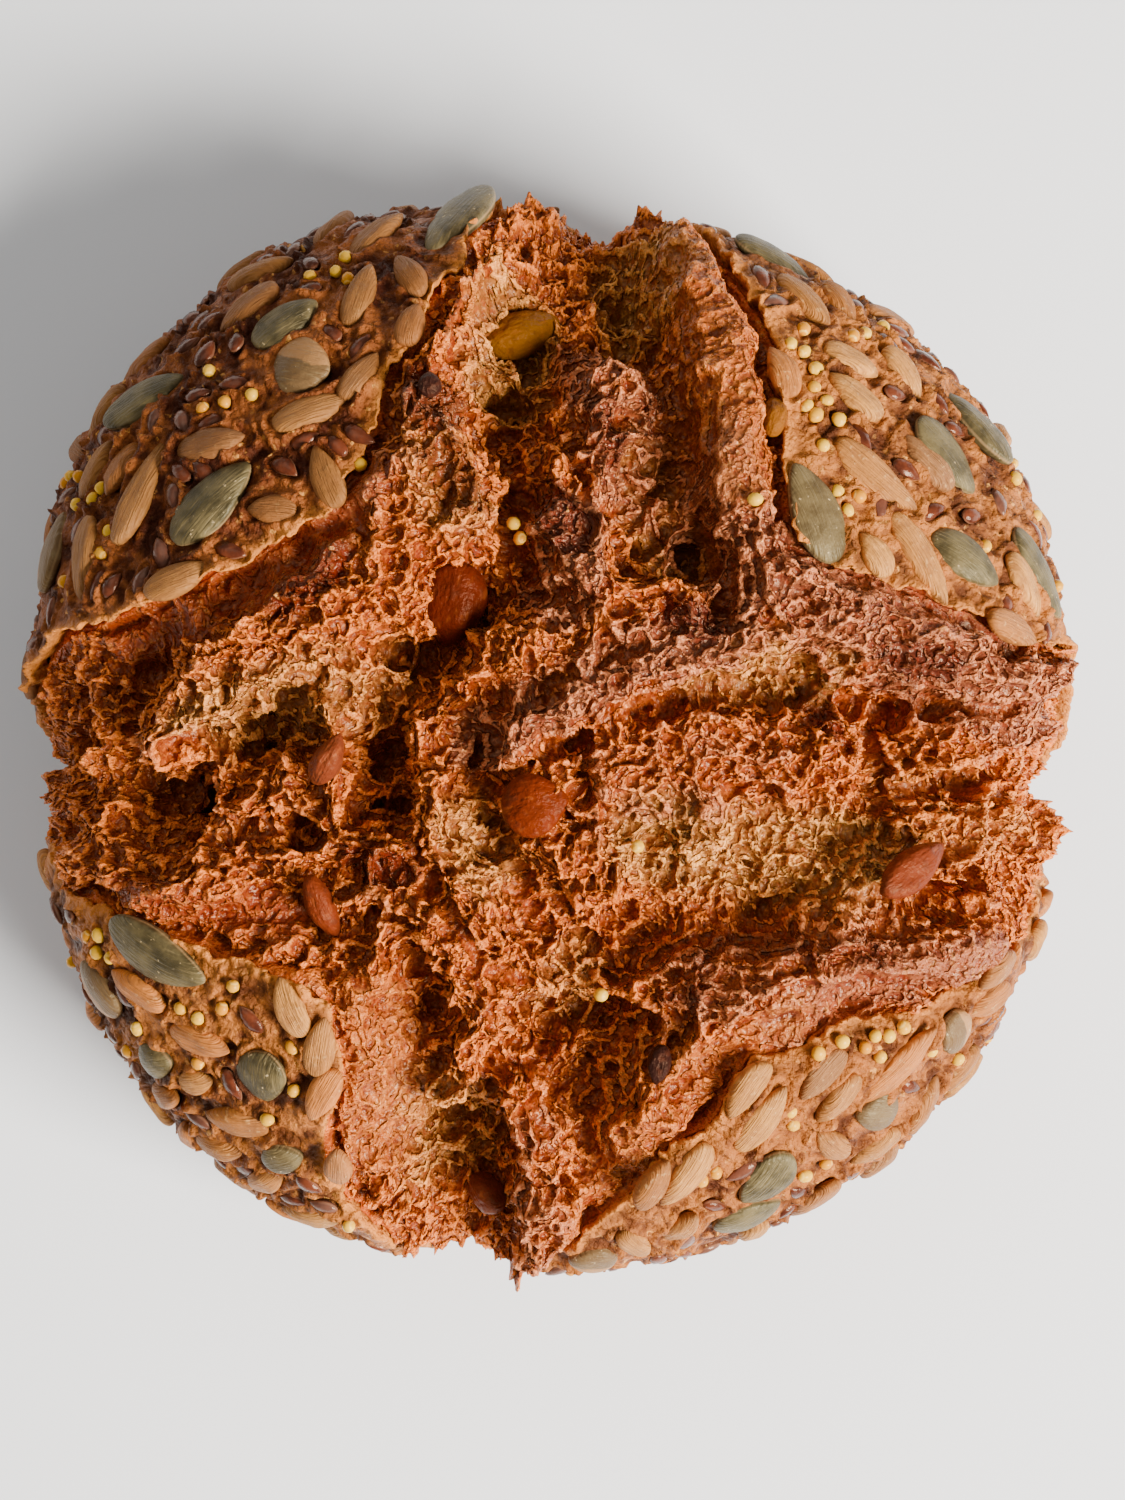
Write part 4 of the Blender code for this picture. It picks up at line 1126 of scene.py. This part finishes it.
# Seed: half width sin(pi v)^power (1 + belly cos(pi v)) along it, where the power goes from one
# end's to the other's, a flattened round section with grooves, and flat caps at the two tips.
def makeSeeds(kind, laid, material):
    about = seedKinds[kind]
    rows = [row for row in laid if row["kind"] == kind]
    around, rings = about["grid"]
    share = 0.5 - 0.5 * np.cos(np.pi * np.linspace(0.06, 0.95, rings))
    turn = np.linspace(0, 2 * np.pi, around, endpoint=False)
    share, turn = np.meshgrid(share, turn, indexing="ij")
    first, last = about["blunt"]
    swell = np.sin(np.pi * share) ** (first + (last - first) * share)
    across = 0.5 * np.cos(turn) * swell * (1 + about["belly"] * np.cos(np.pi * share))
    depth, place, width = about["groove"]
    groove = 1 - depth * np.exp(-((np.abs(np.cos(turn)) - place) / width) ** 2) * np.sin(np.pi * share)
    above = 0.5 * np.sign(np.sin(turn)) * np.abs(np.sin(turn)) ** about["section"] * groove * swell ** 0.8
    shape = np.column_stack([across.ravel(), above.ravel(), (share - 0.5).ravel()])

    count = len(shape)
    ring = np.arange(count).reshape(rings, around)
    after = np.roll(ring, -1, axis=1)
    quads = np.stack([ring[:-1], ring[1:], after[1:], after[:-1]], -1).reshape(-1, 4)
    caps = np.stack([ring[0], ring[-1][::-1]])

    draw = np.random.default_rng(41)
    pieces, tints = [], []
    for row in rows:
        tilt = draw.normal(0, 0.10, 2)
        normal = row["normal"] + tilt[0] * row["along"] + tilt[1] * np.cross(row["normal"], row["along"])
        normal /= np.linalg.norm(normal)
        along = row["along"] - normal * (row["along"] @ normal)
        along /= np.linalg.norm(along)
        if draw.random() < 0.5:
            along = -along
        basis = np.stack([np.cross(normal, along), normal, along])
        size = np.array([row["width"], row["thickness"], row["length"]])
        size *= 1 + draw.uniform(-0.07, 0.07, 3)
        bent = shape * size
        bent[:, 0] += draw.normal(0, 0.05) * row["width"] * (1 - (2 * shape[:, 2]) ** 2)
        placed = row["middle"] + normal * (0.5 - about["sunk"]) * row["thickness"] + bent @ basis
        if about["rough"]:
            bumps = smoothNoise(placed, 2.6, 1.3) + 0.5 * smoothNoise(placed, 1.2, 3.9)
            placed += normal * (about["rough"] * bumps)[:, None]
        pieces.append(placed)
        tints.append(row.get("tint", draw.random()))
    starts = (np.arange(len(rows)) * count)[:, None, None]
    values = {
        "tint": np.repeat(tints, count), "lengthwise": np.tile(share.ravel(), len(rows)),
        "sideways": np.tile(shape[:, 0] + 0.5, len(rows)),
        "tone": np.repeat(perFlap("tones", np.array([row["middle"] for row in rows])), count),
        "rim": np.tile(1 - np.abs(shape[:, 1]) / np.abs(shape[:, 1]).max(), len(rows)),
    }
    faces = [(quads + starts).reshape(-1, 4), (caps + starts).reshape(-1, around)]
    makePiece(f"{kind}_seeds", np.vstack(pieces), faces, material, values)


def seedGrain(made, lengthScale, sideScale):
    # noise drawn out along the seed, in the seed's own lengthwise and sideways directions
    inputs = {0: made.attribute("sideways") * sideScale, 1: made.attribute("lengthwise") * lengthScale,
              2: made.attribute("tint") * 50}
    place = made.node("ShaderNodeCombineXYZ", None, inputs)
    return made.node("ShaderNodeTexNoise", None, {"Vector": place, "Scale": 1.0, "Detail": 3.0})


seedColours = {
    "pumpkin": {"olive": (0.038, 0.027, 0.010), "pale": (0.125, 0.090, 0.036),
                "brown": (0.155, 0.075, 0.028), "tan": (0.36, 0.165, 0.055),
                "scratch": (0.27, 0.19, 0.085), "fleck": (0.62, 0.44, 0.22), "rim": (0.33, 0.20, 0.085)},
    "sunflower": {"light": (0.64, 0.27, 0.058), "dark": (0.38, 0.130, 0.026),
                  "toasted": (0.62, 0.195, 0.034), "grey": (0.20, 0.105, 0.045),
                  "stripe": (0.17, 0.060, 0.017), "cloud": (0.21, 0.070, 0.020),
                  "mealy": (0.88, 0.48, 0.17), "end": (0.13, 0.05, 0.02), "paintedShade": (0.17, 0.062, 0.017)},
    "linseed": {"dark": (0.050, 0.0105, 0.0045), "light": (0.12, 0.027, 0.010),
                "brown": (0.15, 0.070, 0.046), "rim": (0.28, 0.125, 0.065)},
    "millet": {"yellow": (0.74, 0.40, 0.020), "toasted": (0.60, 0.22, 0.004), "ring": (0.92, 0.60, 0.14),
               "cloud": (0.40, 0.15, 0.018)},
    # by shade, from glossy brown over ochre, orange and red brown to burnt
    "roasted": {"shades": [(0.0, (0.075, 0.008, 0.0015)), (0.25, (0.19, 0.065, 0.005)),
                           (0.5, (0.115, 0.013, 0.002)), (0.75, (0.14, 0.026, 0.008)),
                           (0.97, (0.022, 0.007, 0.005))],
                "grain": (0.62, 0.16, 0.03), "cloud": (0.07, 0.018, 0.008)},
}


def pumpkinFinish():
    # Olive by a slow noise, browner on some seeds, with pale scratches where the grain is high,
    # flecks where a fine noise is, and a paler rim; on a few, one half is still tan.
    made, tones = Finish("pumpkin_seed_skin"), seedColours["pumpkin"]
    tint, rim = made.attribute("tint"), made.attribute("rim")
    grain, cloud = seedGrain(made, 4, 26), made.noise(3.2, 3.0)
    half = (made.attribute("sideways") + cloud * 0.25 - 0.68).between(0.0, 0.04)
    colour = made.coats(
        made.mix(cloud.between(0.3, 0.7), tones["olive"], tones["pale"]),
        (tint.between(0.55, 0.9) * 0.7, tones["brown"]),
        (half * (tint - 0.78).between(0.0, 0.04) * 0.9, tones["tan"]),
        (grain.between(0.55, 0.72) * 0.35, tones["scratch"]),
        (made.noise(0.9).between(0.68, 0.76) * 0.7, tones["fleck"]),
        (rim.between(0.8, 1.0) * 0.55, tones["rim"]))
    bumps = made.bumps((grain, 0.25), (made.noise(0.5), 0.08))
    return made.close(colour, 0.42, 0.3, (1.0, 0.88, 0.55), bumps)


def sunflowerFinish():
    # Tan by the seed's tint, with fine stripes where the grain is high and clouds where a slow
    # noise is; some are toasted orange or greyed by the oven, and by the tone the kernels are
    # darkened with painted shade, most on the far left.
    made, tones = Finish("sunflower_kernel"), seedColours["sunflower"]
    tint, grain = made.attribute("tint"), seedGrain(made, 2.5, 26)
    cloud, fine = made.noise(2.6, 3.0), made.noise(0.8, 3.0)
    colour = made.coats(
        made.mix(tint.between(0.1, 0.7), tones["light"], tones["dark"]),
        (tint.between(0.74, 0.8), tones["toasted"]),
        (tint.between(0.88, 0.94) * 0.75, tones["grey"]),
        (grain.between(0.42, 0.66) * 0.55, tones["stripe"]),
        (cloud.between(0.48, 0.75) * 0.5, tones["cloud"]),
        (fine.between(0.58, 0.72) * 0.4, tones["mealy"]),
        ((made.attribute("lengthwise") - 0.86).between(0.0, 0.12) * 0.5, tones["end"]),
        # painted shade, strongest on the far left flap
        ((1 - made.attribute("tone")) * 0.7, tones["paintedShade"]))
    return made.close(colour, 0.5, 0.28, (1.0, 0.74, 0.48), made.bumps((grain, 0.45), (fine, 0.15)))


def linseedFinish():
    # Glossy dark maroon by a slow noise, browner on some, with a paler rim all round, half mixed in:
    # painted sheen.
    made, tones = Finish("linseed_skin"), seedColours["linseed"]
    colour = made.coats(
        made.mix(made.noise(2.0).between(0.3, 0.7), tones["dark"], tones["light"]),
        (made.attribute("tint").between(0.6, 1.0) * 0.5, tones["brown"]),
        # painted sheen: paler all along the seed's sides
        (made.attribute("rim").between(0.6, 0.95) * 0.5, tones["rim"]))
    return made.close(colour, 0.24, 0.35, (1.0, 0.7, 0.5), made.bumps((made.noise(0.6), 0.1)))


def milletFinish():
    # Yellow by the grain's tint, toasted on some, with a ring mark at one end and fine clouds.
    made, tones = Finish("millet_grain"), seedColours["millet"]
    ring = 1 - (made.attribute("lengthwise") - 0.12).maths("ABSOLUTE").between(0.02, 0.07)
    colour = made.coats(
        made.mix(made.attribute("tint").between(0.3, 0.95), tones["yellow"], tones["toasted"]),
        (ring * 0.5, tones["ring"]),
        (made.noise(0.9).between(0.5, 0.75) * 0.45, tones["cloud"]))
    return made.close(colour, 0.3, 0.24, (1.0, 0.8, 0.5), {})


def roastedFinish():
    # Seeds that roasted in the open crumb: a ramp by shade, paler where the grain is high unless
    # burnt, and darker where a slow noise is.
    made, tones = Finish("roasted_seed"), seedColours["roasted"]
    shade, grain = made.attribute("tint"), seedGrain(made, 5, 9)
    colour = made.node("ShaderNodeValToRGB", {"stops": tones["shades"]}, {"Fac": shade})
    paler = made.mix(0.25, colour, tones["grain"])
    colour = made.coats(
        colour,
        (grain.between(0.55, 0.7) * 0.5 * (1 - shade.between(0.8, 0.9)), paler),
        (made.noise(1.8).between(0.5, 0.7) * 0.5, tones["cloud"]))
    bumps = made.bumps((grain, 0.3), (made.noise(0.9, 3.0), 0.35))
    return made.close(colour, 0.36, 0.14, (1.0, 0.55, 0.3), bumps)


# Foot: slightly pitted and flat where the dough lay on the stone, then up round the edge to
# where the flaps end. Out from its middle the run along the skin is footRun - (distance - foot
# radius).
foot = {
    "cell": crust["cell"] * 1.6,
    "overlap": 0.6,              # how far it reaches up under the flaps
    "sunk": 0.25,                # and how far below their surface it lies there
    "turn": 3.0,                 # width over which the flat part turns up
    # height of the pits: at least, mean, at most, and the shares of the pebbles and of a swell
    "pits": (0.02, 0.55, 1.2, 0.6, 0.25),
    "swell": 14.0,
}


def makeFoot():
    cell, top = foot["cell"], crust["lowest"] - foot["overlap"]
    footRadius = np.interp(footRun, skinRun, skinRadius)
    reach = footRadius * 1.04 + footRun - top

    def everywhere(blocks):
        return np.hypot(blocks[:, 0], blocks[:, 1]) < reach + 10 * cell

    grid, keep = latticeOver(reach + 2 * cell, cell, everywhere)
    place = grid[keep]
    far = np.hypot(place[:, 0], place[:, 1])
    way = place / np.maximum(far, 1e-6)[:, None]
    wide = footRadius * outline(np.arctan2(way[:, 1], way[:, 0]))
    run = footRun - (far - wide)
    inUse = run > top - 1.5 * cell
    keep[keep] = inUse
    place, far, way, wide, run = (each[inUse] for each in (place, far, way, wide, run))
    quads = latticeQuads(keep)[:, ::-1]
    run = np.maximum(run, top)
    level = np.column_stack([place, np.zeros(len(place))])
    skin = way * np.minimum(run, footRun)[:, None]
    points = np.where((far > wide)[:, None], domePoints(skin), level)
    pits = pebblesAt(points)
    least, mean, most, pebbleShare, swellShare = foot["pits"]
    bumps = mean + pebbleShare * pits + swellShare * smoothNoise(points, foot["swell"], 3.6)
    raised = smoothStep(0.0, foot["turn"], far - wide)
    points[:, 2] += np.clip(bumps, 0, most) * (1 - raised)
    rise = crustHeight(points, np.full(len(points), 50.0)) + pits - foot["sunk"]
    points += domeNormals(skin) * (rise * raised)[:, None]
    points[:, 2] = np.maximum(points[:, 2], least)
    values = {"edge": np.zeros(len(points)), "rise": 0.5 + pits, "tone": np.full(len(points), 0.5)}
    makePiece("foot", points, [quads], crustFinish(), values, place)


# Stage
stage = {
    "paper": (0.82, 0.82, 0.82),
    "lens": 50.0,
    "frame": (1125, 1500),
    "pixel": 0.143,              # millimetres a pixel at the girth
    "centre": (547, 733),        # where the middle of the dough is in the frame
    # place and size in metres, watts and colour of each lamp, and how bright the room is
    "lamps": [("window", (0.77, -0.48, 0.80), 0.55, 62.0, (1.0, 0.97, 0.93)),
              ("fill", (-0.5, 0.6, 0.9), 0.9, 3.0, (0.96, 0.98, 1.0))],
    "aim": (0, 0, 0.03),
    "room": 0.36,
}


def makeStage():
    bpy.ops.mesh.primitive_plane_add(size=6)
    floor = bpy.context.active_object
    floor.name = "studio_floor"
    paper = Finish("white_paper")
    floor.data.materials.append(paper.close(stage["paper"], 0.9, 0.5, (1, 1, 1), {}))

    (wide, high), centre, pixel = stage["frame"], stage["centre"], stage["pixel"]
    camera = bpy.data.cameras.new("camera")
    camera.sensor_fit = "VERTICAL"
    far = dough["viewingHeight"] - dough["girthHeight"]
    camera.lens = stage["lens"]
    camera.sensor_height = stage["lens"] * high * pixel / far
    camera.sensor_width = camera.sensor_height
    holder = bpy.data.objects.new("camera", camera)
    holder.location = (((wide / 2 - centre[0]) * pixel + dough["offset"][0]) * mm,
                       ((centre[1] - high / 2) * pixel + dough["offset"][1]) * mm,
                       dough["viewingHeight"] * mm)
    bpy.context.scene.collection.objects.link(holder)
    bpy.context.scene.camera = holder

    for name, place, size, power, colour in stage["lamps"]:
        light = bpy.data.lights.new(name, "AREA")
        light.size = size
        light.energy = power
        light.color = colour
        lamp = bpy.data.objects.new(name, light)
        lamp.location = place
        lamp.rotation_euler = (Vector(stage["aim"]) - lamp.location).to_track_quat("-Z", "Y").to_euler()
        bpy.context.scene.collection.objects.link(lamp)
    world = bpy.data.worlds.new("soft_studio")
    world.use_nodes = True
    background = world.node_tree.nodes["Background"].inputs
    background["Color"].default_value = (1, 1, 1, 1)
    background["Strength"].default_value = stage["room"]
    bpy.context.scene.world = world


laid = laySeeds()
makeCrumb()
makeCrust(laid)
makeFoot()
laid += layCrumbSeeds()
makeSeeds("pumpkin", laid, pumpkinFinish())
makeSeeds("sunflower", laid, sunflowerFinish())
makeSeeds("linseed", laid, linseedFinish())
makeSeeds("millet", laid, milletFinish())
makeSeeds("roasted", laid, roastedFinish())
makeStage()
